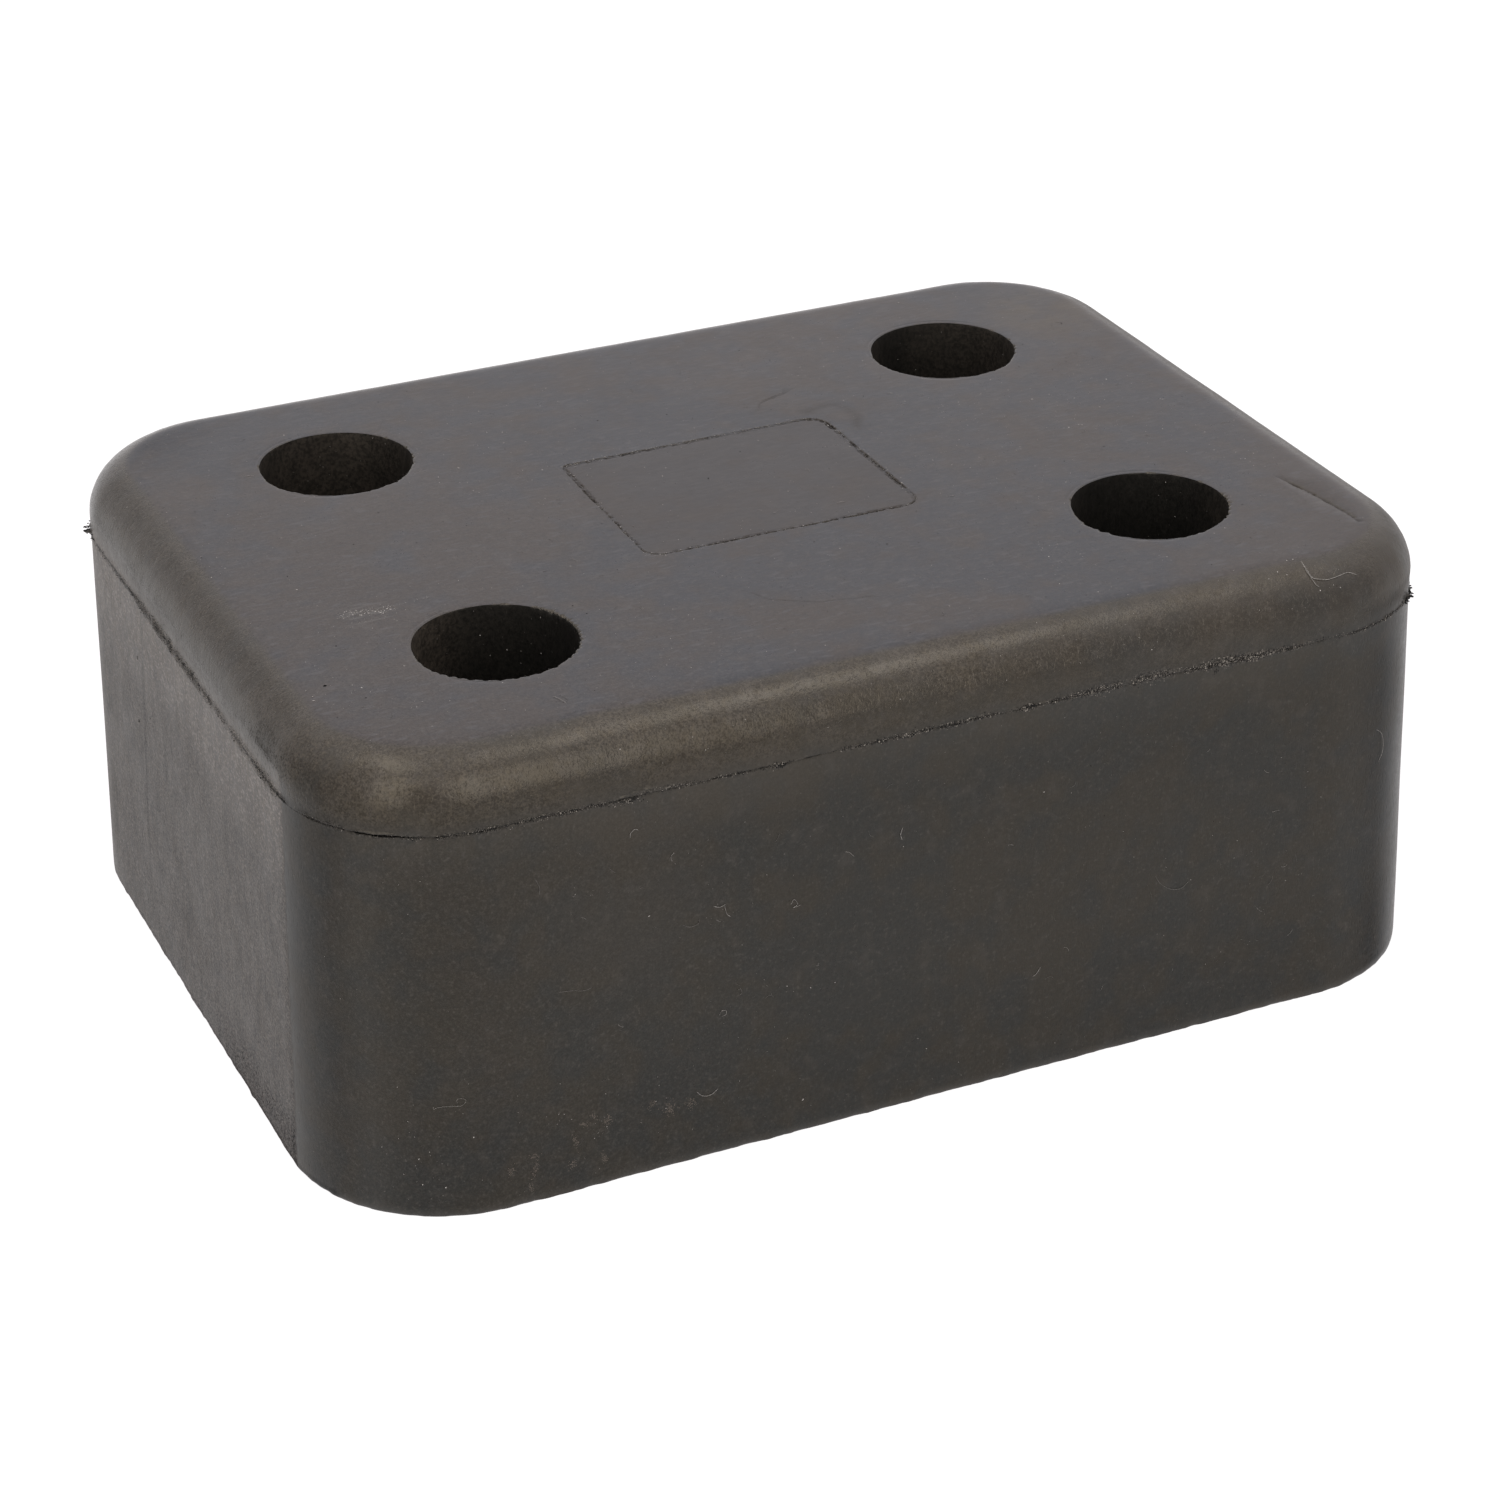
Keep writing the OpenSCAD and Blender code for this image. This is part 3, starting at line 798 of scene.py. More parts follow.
def tiny(mid, spread, top_r):
    return float(np.clip(rng.lognormal(math.log(mid), spread), 0.03, top_r))


# a scuff of fine specks near the left end, with a thin trail to the right
for _ in range(190):
    u = rng.random()
    dust("top", -77.6 + 9.0 * u + rng.normal(0, 0.6), -18.8 - 1.6 * u * rng.random() + rng.normal(0, 0.7), tiny(0.068, 0.3, 0.13), int(rng.random() < 0.55), 0.4, rng.uniform(1, 2.6))
for _ in range(90):
    u = rng.random()
    dust("top", -76.0 + 8.0 * u + rng.normal(0, 0.6), -21.6 + rng.normal(0, 1.2), tiny(0.045, 0.3, 0.09), int(rng.random() < 0.7), 0.4, rng.uniform(1, 2.2))
for _ in range(34):
    u = rng.random()
    dust("top", -69.0 + 8.0 * u, -19.2 + 1.0 * u + rng.normal(0, 0.25), tiny(0.045, 0.3, 0.08), int(rng.random() < 0.6), 0.4, rng.uniform(1, 2.6))
for cx, cy, sx, sy, n_ in ((84, 40, 5, 12, 110), (80, 20, 7, 14, 110), (60, 8, 10, 7, 60), (40, -40, 9, 8, 60), (-85, -44, 4.5, 5.5, 90), (-88, 26, 2.5, 6.0, 70), (-90, 6, 2.0, 5.0, 50), (28.1, 51, 2.0, 1.6, 34), (79, -30, 3.0, 3.5, 30), (62, -2, 5, 4, 26),
                          (-40, -56, 8, 2.5, 40), (-12, 46, 5, 3, 26), (72, -62, 3, 1.2, 24), (-30, 8, 6, 5, 26)):
    for _ in range(n_):
        a, b = rng.normal(cx, sx), rng.normal(cy, sy)
        if clear_of_holes(a, b) and abs(a) < 91 and abs(b) < 65.5:
            dust("top", a, b, tiny(0.045, 0.4, 0.10), int(rng.random() < 0.6), 0.6, rng.uniform(0.8, 2.6))
for _ in range(620):
    a, b = rng.uniform(-88, 88), rng.uniform(-63, 63)
    if clear_of_holes(a, b):
        dust("top", a, b, tiny(0.045, 0.45, 0.13), int(rng.random() < 0.62), 0.6, rng.uniform(0.8, 2.4))
for side, n_, lim, lo_, hi_ in (("front", 320, 72, 2, 64), ("back", 240, 72, 2, 64), ("left", 150, 47, 2, 64), ("right", 170, 47, 2, 64)):
    for _ in range(n_):
        zz = lo_ + (hi_ - lo_) * (rng.random() ** (1.25 if side == "front" else 1.0))
        dust(side, rng.uniform(-lim, lim), zz, tiny(0.042, 0.42, 0.11), int(rng.random() < 0.7), 0.6, rng.uniform(0.8, 2.4))
for a, b, n_ in ((3.2, 36.6, 16), (-36.0, 43.0, 6), (-5.8, 49.5, 9), (-7.0, 49.8, 4), (-65.0, 14.0, 14), (-48.0, 11.6, 12), (-58.0, 10.0, 10), (10.0, 44.0, 10), (-60.0, 52.0, 7),
                 (-66.0, 20.0, 9), (-30.0, 27.0, 6), (40.0, 20.0, 7), (52.0, 12.0, 8), (22.0, 12.0, 7)):
    for _ in range(n_):
        dust("front", a + rng.normal(0, 1.3), b + rng.normal(0, 1.0), tiny(0.05, 0.4, 0.11), int(rng.random() < 0.5))
for _ in range(150):
    dust("corner", rng.uniform(188, 264), rng.uniform(3, 63), tiny(0.045, 0.4, 0.1), int(rng.random() < 0.6))
for _ in range(60):
    dust("corner", 242 + rng.normal(0, 8), 12 + rng.normal(0, 5), tiny(0.05, 0.4, 0.11), int(rng.random() < 0.5))
for _ in range(320):
    dust("ef", rng.uniform(-73, 76), rng.uniform(8, 84), tiny(0.042, 0.4, 0.1), int(rng.random() < 0.6))
for _ in range(140):
    dust("el", rng.uniform(-46, 46), rng.uniform(8, 84), tiny(0.042, 0.4, 0.1), int(rng.random() < 0.6))
# an even scatter of the finest dust
for side, n_, la, b0, b1 in (("top", 2300, 88, -63, 63), ("front", 330, 73, 1, 65), ("left", 330, 48, 1, 65), ("right", 120, 48, 1, 65), ("back", 150, 73, 1, 65)):
    for _ in range(n_):
        a, b = rng.uniform(-la, la), rng.uniform(b0, b1)
        if side != "top" or clear_of_holes(a, b):
            dust(side, a, b, tiny(0.046 if side == "top" else 0.036, 0.32, 0.10), int(rng.random() < 0.6), 0.5, rng.uniform(0.8, 2.6))
for _ in range(800):
    a, b = rng.uniform(28, 92), rng.uniform(-58, 64)
    if clear_of_holes(a, b):
        dust("top", a, b, tiny(0.046, 0.32, 0.10), int(rng.random() < 0.5), 0.5, rng.uniform(0.8, 2.6))
for _ in range(120):
    a, b = rng.uniform(-88, 90), rng.uniform(-62, 62)
    if clear_of_holes(a, b):
        dust("top", a, b, tiny(0.078, 0.25, 0.12), int(rng.random() < 0.4), 0.6, rng.uniform(0.8, 1.8))
# pale dots along the panel's groove, thicker behind it and near the left end
po, pn = panel_outline(0.36)
w_ = 0.5 + 1.3 * smooth(po[:, 1], 18, 19) + 0.8 * smooth(po[:, 0], 23, 24) * smooth(po[:, 1], -6, -2) + 0.9 * smooth(-po[:, 0], 13, 15) * smooth(-po[:, 1], 18, 19)
for k in rng.choice(len(po), 760, p=w_ / w_.sum()):
    a, b = po[k] + pn[k] * rng.normal(0.22, 0.36)
    dust("top", a, b, tiny(0.056, 0.3, 0.105), int(rng.random() < 0.45), 0.5, rng.uniform(0.8, 2.0))
# dark dots in the groove: painted shade
for k in rng.choice(len(po), 300):
    a, b = po[k] + pn[k] * rng.normal(0.02, 0.26)
    dust("top", a, b, rng.uniform(0.05, 0.10), 2, 0.2, 1.4)
# pale dried spots low on the front, as thin clusters
for a, b, w, h, lean in ((-62.1, 8.7, 0.42, 1.7, 10), (-56.5, 11.2, 0.75, 0.95, 0), (-57.4, 4.6, 0.50, 1.2, 15), (-62.8, 5.1, 0.50, 1.1, -10), (-69.0, 6.0, 0.45, 1.9, -18),
                         (-69.9, 2.7, 0.45, 0.8, 0), (-69.2, 8.4, 0.8, 0.45, 0), (-60.5, 11.7, 0.75, 0.5, 0), (-58.8, 12.7, 0.45, 0.9, 35), (-46.2, 10.4, 1.0, 1.4, 20),
                         (-42.6, 10.6, 0.9, 1.0, 0), (-49.2, 12.1, 0.6, 0.7, 0), (-73.0, 6.5, 0.5, 1.3, -15)):
    lean = math.radians(lean)
    for _ in range(int(62 * w * h) + 10):
        u, v = rng.normal(0, 0.55, 2) * (w, h)
        dust("front", a + u * math.cos(lean) - v * math.sin(lean), max(0.3, b + u * math.sin(lean) + v * math.cos(lean)), rng.uniform(0.05, 0.10), 3, 0.12, rng.uniform(0.9, 1.8))
# dark pits and specks: dark flakes as painted shade where small pits are, and dark specks
for _ in range(46):
    a, b = rng.uniform(-88, 88), rng.uniform(-63, 63)
    if clear_of_holes(a, b):
        dust("top", a, b, rng.uniform(0.06, 0.14), 2, 0.12, 1.3)
for _ in range(70):
    side = ("front", "left", "right", "back")[int(rng.integers(4))]
    dust(side, rng.uniform(-47, 47) * (1.5 if side in ("front", "back") else 1.0), rng.uniform(1, 64), rng.uniform(0.05, 0.13), 2, 0.12, 1.3)
for side, a, b, r_, n_, sa, sb in (("top", -86.7, -40.6, 0.20, 5, 0.12, 0.12), ("left", 26.4, 54.9, 0.16, 6, 0.12, 0.15), ("left", 27.8, 42.2, 0.16, 6, 0.12, 0.15),
                                   ("left", -46.3, 43.2, 0.10, 16, 0.05, 0.75), ("left", -47.1, 41.0, 0.09, 9, 0.05, 0.45), ("left", 24.0, 60.0, 0.07, 10, 0.25, 2.2)):
    for _ in range(n_):
        dust(side, a + rng.normal(0, sa), b + rng.normal(0, sb), r_ * rng.uniform(0.6, 1.1), 2, 0.15, 1.2)
# single larger specks seen on the right end of the front edge
for p in ((68.3, -65.6, 77.9), (67.2, -65.5, 77.9), (64.3, -67.5, 77.3), (62.2, -68.3, 76.9), (65.6, -68.3, 76.9), (73.9, -71.3, 74.2), (66.5, -72.9, 70.0), (70.2, -71.2, 74.4)):
    items.append((np.array(p), surface(*p), 0.11, 0.7, 1.2, 0))
# specks on the walls of the holes
for name, (cx, cy) in HOLES.items():
    for _ in range({"left_front": 190, "left_back": 150, "right_back": 90, "right_front": 80}[name]):
        a = rng.uniform(0, 2 * math.pi)
        zz = H - 0.6 - 15 * rng.random() ** 1.1
        n = -np.array((math.cos(a), math.sin(a), 0.0))
        items.append((np.array((cx, cy, zz)) - n * (R_SOCK - 0.02), n, tiny(0.05, 0.35, 0.10), 0.5, rng.uniform(0.8, 2.2), int(rng.random() < 0.5)))
for _ in range(240):
    a = math.radians(rng.uniform(96, 160))
    zz = H - 0.8 - 13 * rng.random()
    n = -np.array((math.cos(a), math.sin(a), 0.0))
    items.append((np.array((-58.0, -37.5, zz)) - n * (R_SOCK - 0.02), n, tiny(0.06, 0.3, 0.10), 0.4, rng.uniform(0.8, 2.2), int(rng.random() < 0.85)))
dust_ob = grains("dust_specks", items, rng)


# ------------------------------------------------------------------ lint fibres
def tube(points, radius):
    """A thin four-sided tube along points. Returns vertices and faces."""
    pts = np.array(points)
    n = len(pts)
    tan = np.gradient(pts, axis=0)
    tan /= np.linalg.norm(tan, axis=1)[:, None] + 1e-12
    u = np.cross(tan, (0.31, 0.17, 0.93))
    u /= np.linalg.norm(u, axis=1)[:, None] + 1e-12
    w = np.cross(tan, u)
    r = radius * np.clip(np.minimum(np.arange(n), np.arange(n)[::-1]) / 1.5 + 0.35, 0, 1)
    v = np.concatenate([pts + (u * math.cos(a) + w * math.sin(a)) * r[:, None] for a in np.radians((0, 90, 180, 270))])
    f = []
    for k in range(4):
        a, b = k * n, ((k + 1) % 4) * n
        f += [(a + j, b + j, b + j + 1, a + j + 1) for j in range(n - 1)]
    f += [(0, n, 2 * n, 3 * n), (4 * n - 1, 3 * n - 1, 2 * n - 1, n - 1)]
    return v, f


def spline(ctrl, m):
    """Catmull-Rom points through the control points."""
    c = np.array(ctrl, float)
    c = np.vstack([2 * c[0] - c[1], c, 2 * c[-1] - c[-2]])
    out = []
    for k in range(1, len(c) - 2):
        for t in np.arange(m) / m:
            a, b, d_, e = c[k - 1], c[k], c[k + 1], c[k + 2]
            out.append(0.5 * (2 * b + (d_ - a) * t + (2 * a - 5 * b + 4 * d_ - e) * t * t + (3 * b - a - 3 * d_ + e) * t ** 3))
    return out + [c[-2]]


rng = np.random.default_rng(47)
fv, ff, fslots = [], [], []


def fibre(side, ctrl, radius=0.04, lift=0.06, slot=0, m=5):
    """A fibre lying on a side, through control points in that side's own two coordinates."""
    global fv, ff
    pts = []
    path = spline(ctrl, m)
    for j, q_ in enumerate(path):
        p, n = (np.array(q_), surface(*q_)) if side == "at" else spot(side, *q_)
        h = radius + lift * math.sin(math.pi * j / (len(path) - 1))
        pts.append(p + n * h)
    v, f = tube(pts, radius)
    base = len(fv)
    fv += v.tolist()
    ff += [tuple(base + k for k in q) for q in f]
    fslots.extend([slot] * len(f))


# placed ones: near the right front end of the top, on the front and on the right front corner
fibre("at", [(69.4, -66.2, 77.7), (69.3, -68.5, 76.8), (69.6, -69.6, 76.0), (70.9, -70.1, 75.7), (72.1, -70.3, 75.5), (74.1, -70.1, 75.6), (76.1, -69.8, 75.7), (77.7, -70.1, 75.1)], 0.045, 0.12)
fibre("at", [(69.4, -66.8, 77.5), (69.1, -68.3, 76.9), (69.3, -69.6, 76.1), (69.7, -70.5, 75.2), (70.3, -70.9, 74.8)], 0.035, 0.12)
fibre("at", [(-84.0, -72.0, 19.6), (-83.1, -72.4, 20.0), (-82.1, -72.8, 20.1), (-81.0, -73.2, 20.1), (-80.0, -73.5, 20.1), (-79.3, -73.6, 20.7), (-79.5, -73.6, 21.2), (-80.3, -73.3, 21.3), (-80.8, -73.2, 20.8)],
      0.017, 0.10)
fibre("front", [(40.3, 30.5), (41.2, 29.0), (43.2, 27.5), (45.2, 27.2), (46.6, 28.1)], 0.028, 0.2, 1)
fibre("front", [(-41.6, 12.4), (-40.6, 11.4), (-39.2, 11.2), (-37.9, 11.9)], 0.036, 0.1)
fibre("front", [(-51.0, 59.6), (-50.9, 60.4), (-50.2, 60.9), (-49.6, 60.6)], 0.036, 0.1)
fibre("front", [(-44.4, 54.0), (-44.5, 54.9), (-43.9, 55.4)], 0.03, 0.1)
fibre("front", [(-5.4, 50.4), (-5.8, 49.4), (-5.5, 48.3)], 0.045, 0.1)
fibre("front", [(-15.4, 48.6), (-14.6, 48.3), (-13.8, 47.4)], 0.028, 0.1)
fibre("front", [(-37.8, 44.6), (-36.7, 44.2), (-35.7, 44.4)], 0.035, 0.1)
fibre("front", [(-35.9, 44.2), (-35.6, 42.8), (-34.9, 42.0)], 0.035, 0.1)
fibre("front", [(-24.7, 41.6), (-24.2, 42.4), (-23.6, 41.4), (-24.4, 41.0), (-23.0, 41.1)], 0.028, 0.1)
fibre("front", [(-43.0, 42.6), (-41.8, 42.0), (-40.4, 42.2), (-40.2, 42.9)], 0.03, 0.1, 1)
fibre("front", [(-37.3, 25.1), (-36.9, 25.8), (-36.2, 25.7), (-36.2, 25.0), (-36.9, 24.8)], 0.03, 0.05)
fibre("front", [(-34.1, 28.8), (-33.6, 28.9), (-33.4, 28.1), (-33.9, 27.8)], 0.03, 0.05, 1)
fibre("front", [(17.9, 17.6), (18.6, 18.1), (19.4, 19.1)], 0.032, 0.1)
fibre("front", [(-63.8, 36.2), (-61.5, 35.9), (-59.5, 35.4), (-58.2, 35.6)], 0.03, 0.05, 1)
fibre("front", [(-66.5, 56.4), (-65.9, 55.0), (-65.9, 53.6)], 0.035, 0.1, 1)
fibre("corner", [(292.0, 46.6), (294.8, 45.6), (296.4, 43.6), (296.2, 41.6), (294.6, 40.2)], 0.030, 0.25)
fibre("top", [(-56.9, -58.6), (-56.3, -60.2), (-55.9, -61.6)], 0.03, 0.1)
fibre("top", [(-55.9, -58.4), (-55.4, -59.6), (-55.3, -60.8)], 0.022, 0.1, 1)
fibre("top", [(24.2, 32.4), (21.5, 31.4), (18.6, 30.3)], 0.02, 0.02, 1)
for side, n_, la, b0, b1 in (("top", 90, 86, -60, 60), ("front", 60, 71, 4, 62), ("back", 40, 71, 4, 62), ("left", 26, 46, 4, 60), ("right", 30, 46, 4, 60)):
    for _ in range(n_):
        a, b = rng.uniform(-la, la), rng.uniform(b0, b1)
        if side == "top" and (not clear_of_holes(a, b) or not clear_of_holes(a + 2, b + 2)):
            continue
        ln, th = rng.uniform(0.4, 1.9), (rng.normal(0, 0.35) if side == "top" else rng.uniform(0, 2 * math.pi))
        bend = rng.uniform(-1.6, 1.6)
        ctrl = [(a, b)]
        for _k in range(3):
            th += bend * 0.5
            ctrl.append((ctrl[-1][0] + math.cos(th) * ln / 3, ctrl[-1][1] + math.sin(th) * ln / 3))
        fibre(side, ctrl, rng.uniform(0.010, 0.020), 0.04, int(rng.random() < 0.75), 3)
lint = make_mesh("lint_fibres", fv, ff, slots=fslots)


# ------------------------------------------------------------------ node helpers
class Graph:
    def __init__(self, name):
        self.mat = bpy.data.materials.new(name)
        self.mat.use_nodes = True
        self.t = self.mat.node_tree
        self.t.nodes.clear()
        self.out = self.t.nodes.new("ShaderNodeOutputMaterial")
        self.bsdf = self.t.nodes.new("ShaderNodeBsdfPrincipled")
        self.t.links.new(self.bsdf.outputs["BSDF"], self.out.inputs["Surface"])
        self.coord = self.t.nodes.new("ShaderNodeTexCoord").outputs["Object"]
        self.normal = self.t.nodes.new("ShaderNodeNewGeometry").outputs["Normal"]

    def put(self, socket, v):
        if isinstance(v, bpy.types.NodeSocket):
            self.t.links.new(v, socket)
        elif isinstance(v, (tuple, list)) and len(v) == 3 and socket.type == "RGBA":
            socket.default_value = (*v, 1.0)
        else:
            socket.default_value = v

    def attr(self, name):
        n = self.t.nodes.new("ShaderNodeAttribute")
        n.attribute_name = name
        return n.outputs["Fac"]

    def math(self, op, a, b=0.0, c=0.0, clamp=False):
        n = self.t.nodes.new("ShaderNodeMath")
        n.operation, n.use_clamp = op, clamp
        for i, v in enumerate((a, b, c)):
            self.put(n.inputs[i], v)
        return n.outputs[0]

    def mul(self, a, b, *more):
        out = self.math("MULTIPLY", a, b)
        for m in more:
            out = self.math("MULTIPLY", out, m)
        return out

    def plus(self, a, b, *more):
        out = self.math("ADD", a, b)
        for m in more:
            out = self.math("ADD", out, m)
        return out

    def inv(self, a): return self.math("SUBTRACT", 1.0, a)
    def mid(self, a): return self.math("SUBTRACT", a, 0.5)
    def absv(self, a): return self.math("ABSOLUTE", a)
    def most(self, a, b): return self.math("MAXIMUM", a, b)

    def mix(self, fac, a, b):
        n = self.t.nodes.new("ShaderNodeMix")
        n.data_type = "RGBA"
        self.put(n.inputs[0], fac)
        self.put(n.inputs[6], a)
        self.put(n.inputs[7], b)
        return n.outputs[2]

    def step(self, v, lo, hi, to_lo=0.0, to_hi=1.0):
        n = self.t.nodes.new("ShaderNodeMapRange")
        n.interpolation_type = "SMOOTHSTEP"
        if lo > hi:
            lo, hi, to_lo, to_hi = hi, lo, to_hi, to_lo
        self.put(n.inputs["Value"], v)
        n.inputs["From Min"].default_value, n.inputs["From Max"].default_value = lo, hi
        n.inputs["To Min"].default_value, n.inputs["To Max"].default_value = to_lo, to_hi
        return n.outputs[0]

    def scaled(self, sx, sy, sz):
        n = self.t.nodes.new("ShaderNodeMapping")
        n.inputs["Scale"].default_value = (sx, sy, sz)
        self.t.links.new(self.coord, n.inputs["Vector"])
        return n.outputs[0]

    def noise(self, size_mm, detail=2.0, rough=0.5, vec=None, distort=0.0):
        n = self.t.nodes.new("ShaderNodeTexNoise")
        n.inputs["Scale"].default_value = 1000.0 / size_mm
        n.inputs["Detail"].default_value = detail
        n.inputs["Roughness"].default_value = rough
        n.inputs["Distortion"].default_value = distort
        self.t.links.new(vec or self.coord, n.inputs["Vector"])
        return n.outputs[0]

    def cells(self, size_mm, vec=None):
        n = self.t.nodes.new("ShaderNodeTexVoronoi")
        n.inputs["Scale"].default_value = 1000.0 / size_mm
        self.t.links.new(vec or self.coord, n.inputs["Vector"])
        return n

    def xyz(self, v=None):
        n = self.t.nodes.new("ShaderNodeSeparateXYZ")
        self.t.links.new(v or self.coord, n.inputs[0])
        return n.outputs

    def near(self, x, y, z, r_in, r_out):
        """1 within r_in mm of a point, 0 beyond r_out mm."""
        n = self.t.nodes.new("ShaderNodeVectorMath")
        n.operation = "DISTANCE"
        self.t.links.new(self.coord, n.inputs[0])
        n.inputs[1].default_value = (x * MM, y * MM, z * MM)
        return self.step(n.outputs["Value"], r_in * MM, r_out * MM, 1.0, 0.0)

    def blot(self, across, z0, a, b, w, h, lean):
        """Soft ellipse on a wall: centre, half width and half height in mm, and its lean in degrees. across is the wall's own coordinate."""
        dx = self.math("SUBTRACT", across, a * MM)
        dz = self.math("SUBTRACT", z0, b * MM)
        c, s_ = math.cos(math.radians(lean)), math.sin(math.radians(lean))
        u = self.math("MULTIPLY", self.plus(self.mul(dx, c), self.mul(dz, s_)), 1000.0 / w)
        v = self.math("MULTIPLY", self.plus(self.mul(dx, -s_), self.mul(dz, c)), 1000.0 / h)
        return self.step(self.plus(self.mul(u, u), self.mul(v, v)), 1.3, 0.25)

    def bump(self, height, strength, dist_mm, normal=None):
        n = self.t.nodes.new("ShaderNodeBump")
        n.inputs["Strength"].default_value = strength
        n.inputs["Distance"].default_value = dist_mm * MM
        self.t.links.new(height, n.inputs["Height"])
        if normal is not None:
            self.t.links.new(normal, n.inputs["Normal"])
        return n.outputs[0]


def rubber():
    g = Graph("moulded_black_rubber")
    nx, ny, nz = g.xyz(g.normal)
    px, py, pz = g.xyz()
    crack = g.attr("crack")
    torn_k = g.attr("torn")
    dark = g.attr("dark")
    smear = g.attr("smear")
    rim = g.step(g.attr("rim_d"), 1.0, 0.05)
    gd = g.attr("groove_d")
    bore = g.attr("bore")
    in_bore = g.step(bore, 0.0, 0.001)
    top = g.mul(g.step(nz, 0.95, 0.995), g.step(pz, 0.0765, 0.0772))
    wall = g.mul(g.step(nz, 0.22, 0.04), g.inv(in_bore))
    edge = g.mul(g.inv(top), g.step(pz, 0.0664, 0.0692), g.inv(in_bore))

    grain = g.noise(0.30, 1, 0.6)
    speck = g.noise(0.62, 1.5, 0.6)
    mottle = g.noise(3.4, 2, 0.6)
    patch = g.noise(13, 2, 0.58, distort=0.4)
    broad = g.noise(46, 1, 0.5, distort=0.8)
    hue_s = g.noise(1.3, 1, 0.6)
    hue_m = g.noise(5.5, 1, 0.55)
    drawn = g.noise(0.55, 1, 0.6, g.scaled(1, 1, 0.42))       # short marks along the height
    run = g.noise(5.0, 1, 0.55, g.scaled(1, 1, 0.16))          # long soft runs along the height
    wisp = g.noise(1.1, 1, 0.6, g.scaled(0.30, 1, 1))          # wiped marks along the length

    # the left side has its own matt finish, which ends sharply just before the corner
    left_w = g.step(px, -0.0960, -0.0972)
    ends = g.plus(py, g.mul(g.mid(mottle), 0.0012))
    left = g.mul(g.mul(left_w, wall), g.step(ends, -0.0512, -0.0500))
    turn = g.mul(g.step(nx, -0.70, -0.88), g.inv(left), g.step(py, -0.030, -0.045), g.inv(top))
    front = g.mul(g.step(ny, -0.6, -0.9), wall)
    right = g.mul(g.step(nx, 0.05, 0.45), wall)

    # base colour: cool and warm zones, and finer changes of hue
    ends_warm = g.mul(g.step(g.absv(px), 0.022, 0.070), g.step(py, 0.070, 0.020))
    tone = g.plus(g.mul(broad, 0.40), g.mul(patch, 0.30), g.mul(hue_m, 0.25), g.plus(g.mul(ends_warm, 0.070), -0.010))
    top_c = g.mix(g.step(tone, 0.41, 0.58), (0.0052, 0.0062, 0.0104), (0.0128, 0.0080, 0.0060))
    tone_s = g.plus(g.mul(patch, 0.42), g.mul(broad, 0.23), g.mul(hue_m, 0.35))
    side_c = g.mix(g.step(tone_s, 0.42, 0.58), (0.0056, 0.0065, 0.0069), (0.0091, 0.0077, 0.0056))
    col = g.mix(top, side_c, top_c)
    fine_hue = g.plus(0.11, g.mul(top, 0.11))
    col = g.mix(g.mul(g.step(hue_s, 0.50, 0.72), fine_hue), col, (0.0180, 0.0120, 0.0085))
    col = g.mix(g.mul(g.step(hue_s, 0.50, 0.28), fine_hue), col, (0.0040, 0.0075, 0.0115))
    # painted light: the left side's own paler colour is made lighter still towards the parting line, standing in for
    # the highlight there; high carries it and also raises the specular level there
    high = g.step(g.plus(pz, g.mul(g.mid(run), 0.012)), 0.046, 0.064)
    col = g.mix(g.mul(left, g.plus(0.55, g.mul(high, 0.4))), col, (0.0225, 0.0150, 0.0122))
    # pale flecks rubbed on the left side, made thicker just below the line as part of the painted light there
    fleck = g.mul(left, g.step(drawn, 0.53, 0.66), g.plus(0.12, g.mul(high, 0.30)))
    col = g.mix(fleck, col, (0.068, 0.060, 0.054))
    # soft streaks down the left side, paler just below the line as painted light, and one long shallow dark line
    streak = g.noise(2.8, 1, 0.6, g.scaled(1, 1, 0.42))
    coarse = g.noise(0.50, 1, 0.6, g.scaled(1, 0.55, 1))
    col = g.mix(g.mul(left, g.step(streak, 0.54, 0.68), g.plus(0.19, g.mul(high, 0.30))), col, (0.060, 0.052, 0.046))
    col = g.mix(g.mul(left, g.step(coarse, 0.54, 0.66), g.plus(0.38, g.mul(high, 0.56))), col, (0.108, 0.097, 0.089))
    col = g.mix(g.mul(left, g.step(coarse, 0.45, 0.35), 0.9), col, (0.003, 0.003, 0.003))
    col = g.mix(g.mul(left, g.step(streak, 0.46, 0.32), 0.60), col, (0.005, 0.004, 0.004))
    off = g.absv(g.plus(py, g.plus(g.mul(pz, 0.078), g.mul(g.mid(mottle), 0.0006)), -0.0276))
    scored = g.mul(left, g.step(off, 0.0011, 0.0002), g.mul(g.step(pz, 0.012, 0.022), g.step(run, 0.35, 0.60, 0.45, 1.0)))
    col = g.mix(g.mul(scored, 0.60), col, (0.004, 0.004, 0.004))
    # grit: pale and dark grains everywhere, thickest on the left side and the rounded edge
    grit = g.plus(g.mul(grain, 0.62), g.mul(speck, 0.38))
    pale = g.step(grit, 0.515, 0.63)
    # on the rounded edge the grit lies in patches, and there is little of it at the right end
    patchy = g.mul(edge, g.step(g.plus(patch, g.mul(hue_m, 0.6)), 0.66, 0.92, 0.35, 1.25), g.step(px, 0.055, 0.010, 0.35, 1.0))
    fade = g.step(px, -0.055, -0.010, 1.25, 0.62)
    gritty = g.plus(g.mul(fade, 0.075), g.mul(left, 0.50), g.plus(g.mul(patchy, 0.17), g.mul(top, 0.05)))
    col = g.mix(g.mul(pale, gritty), col, g.mix(edge, (0.072, 0.066, 0.060), (0.082, 0.066, 0.045)))
    soot = g.mul(g.step(grit, 0.49, 0.40), g.plus(g.mul(fade, 0.15), g.mul(left, 0.70), g.plus(g.mul(patchy, 0.38), g.mul(top, 0.12))))
    col = g.mix(soot, col, (0.003, 0.003, 0.003))
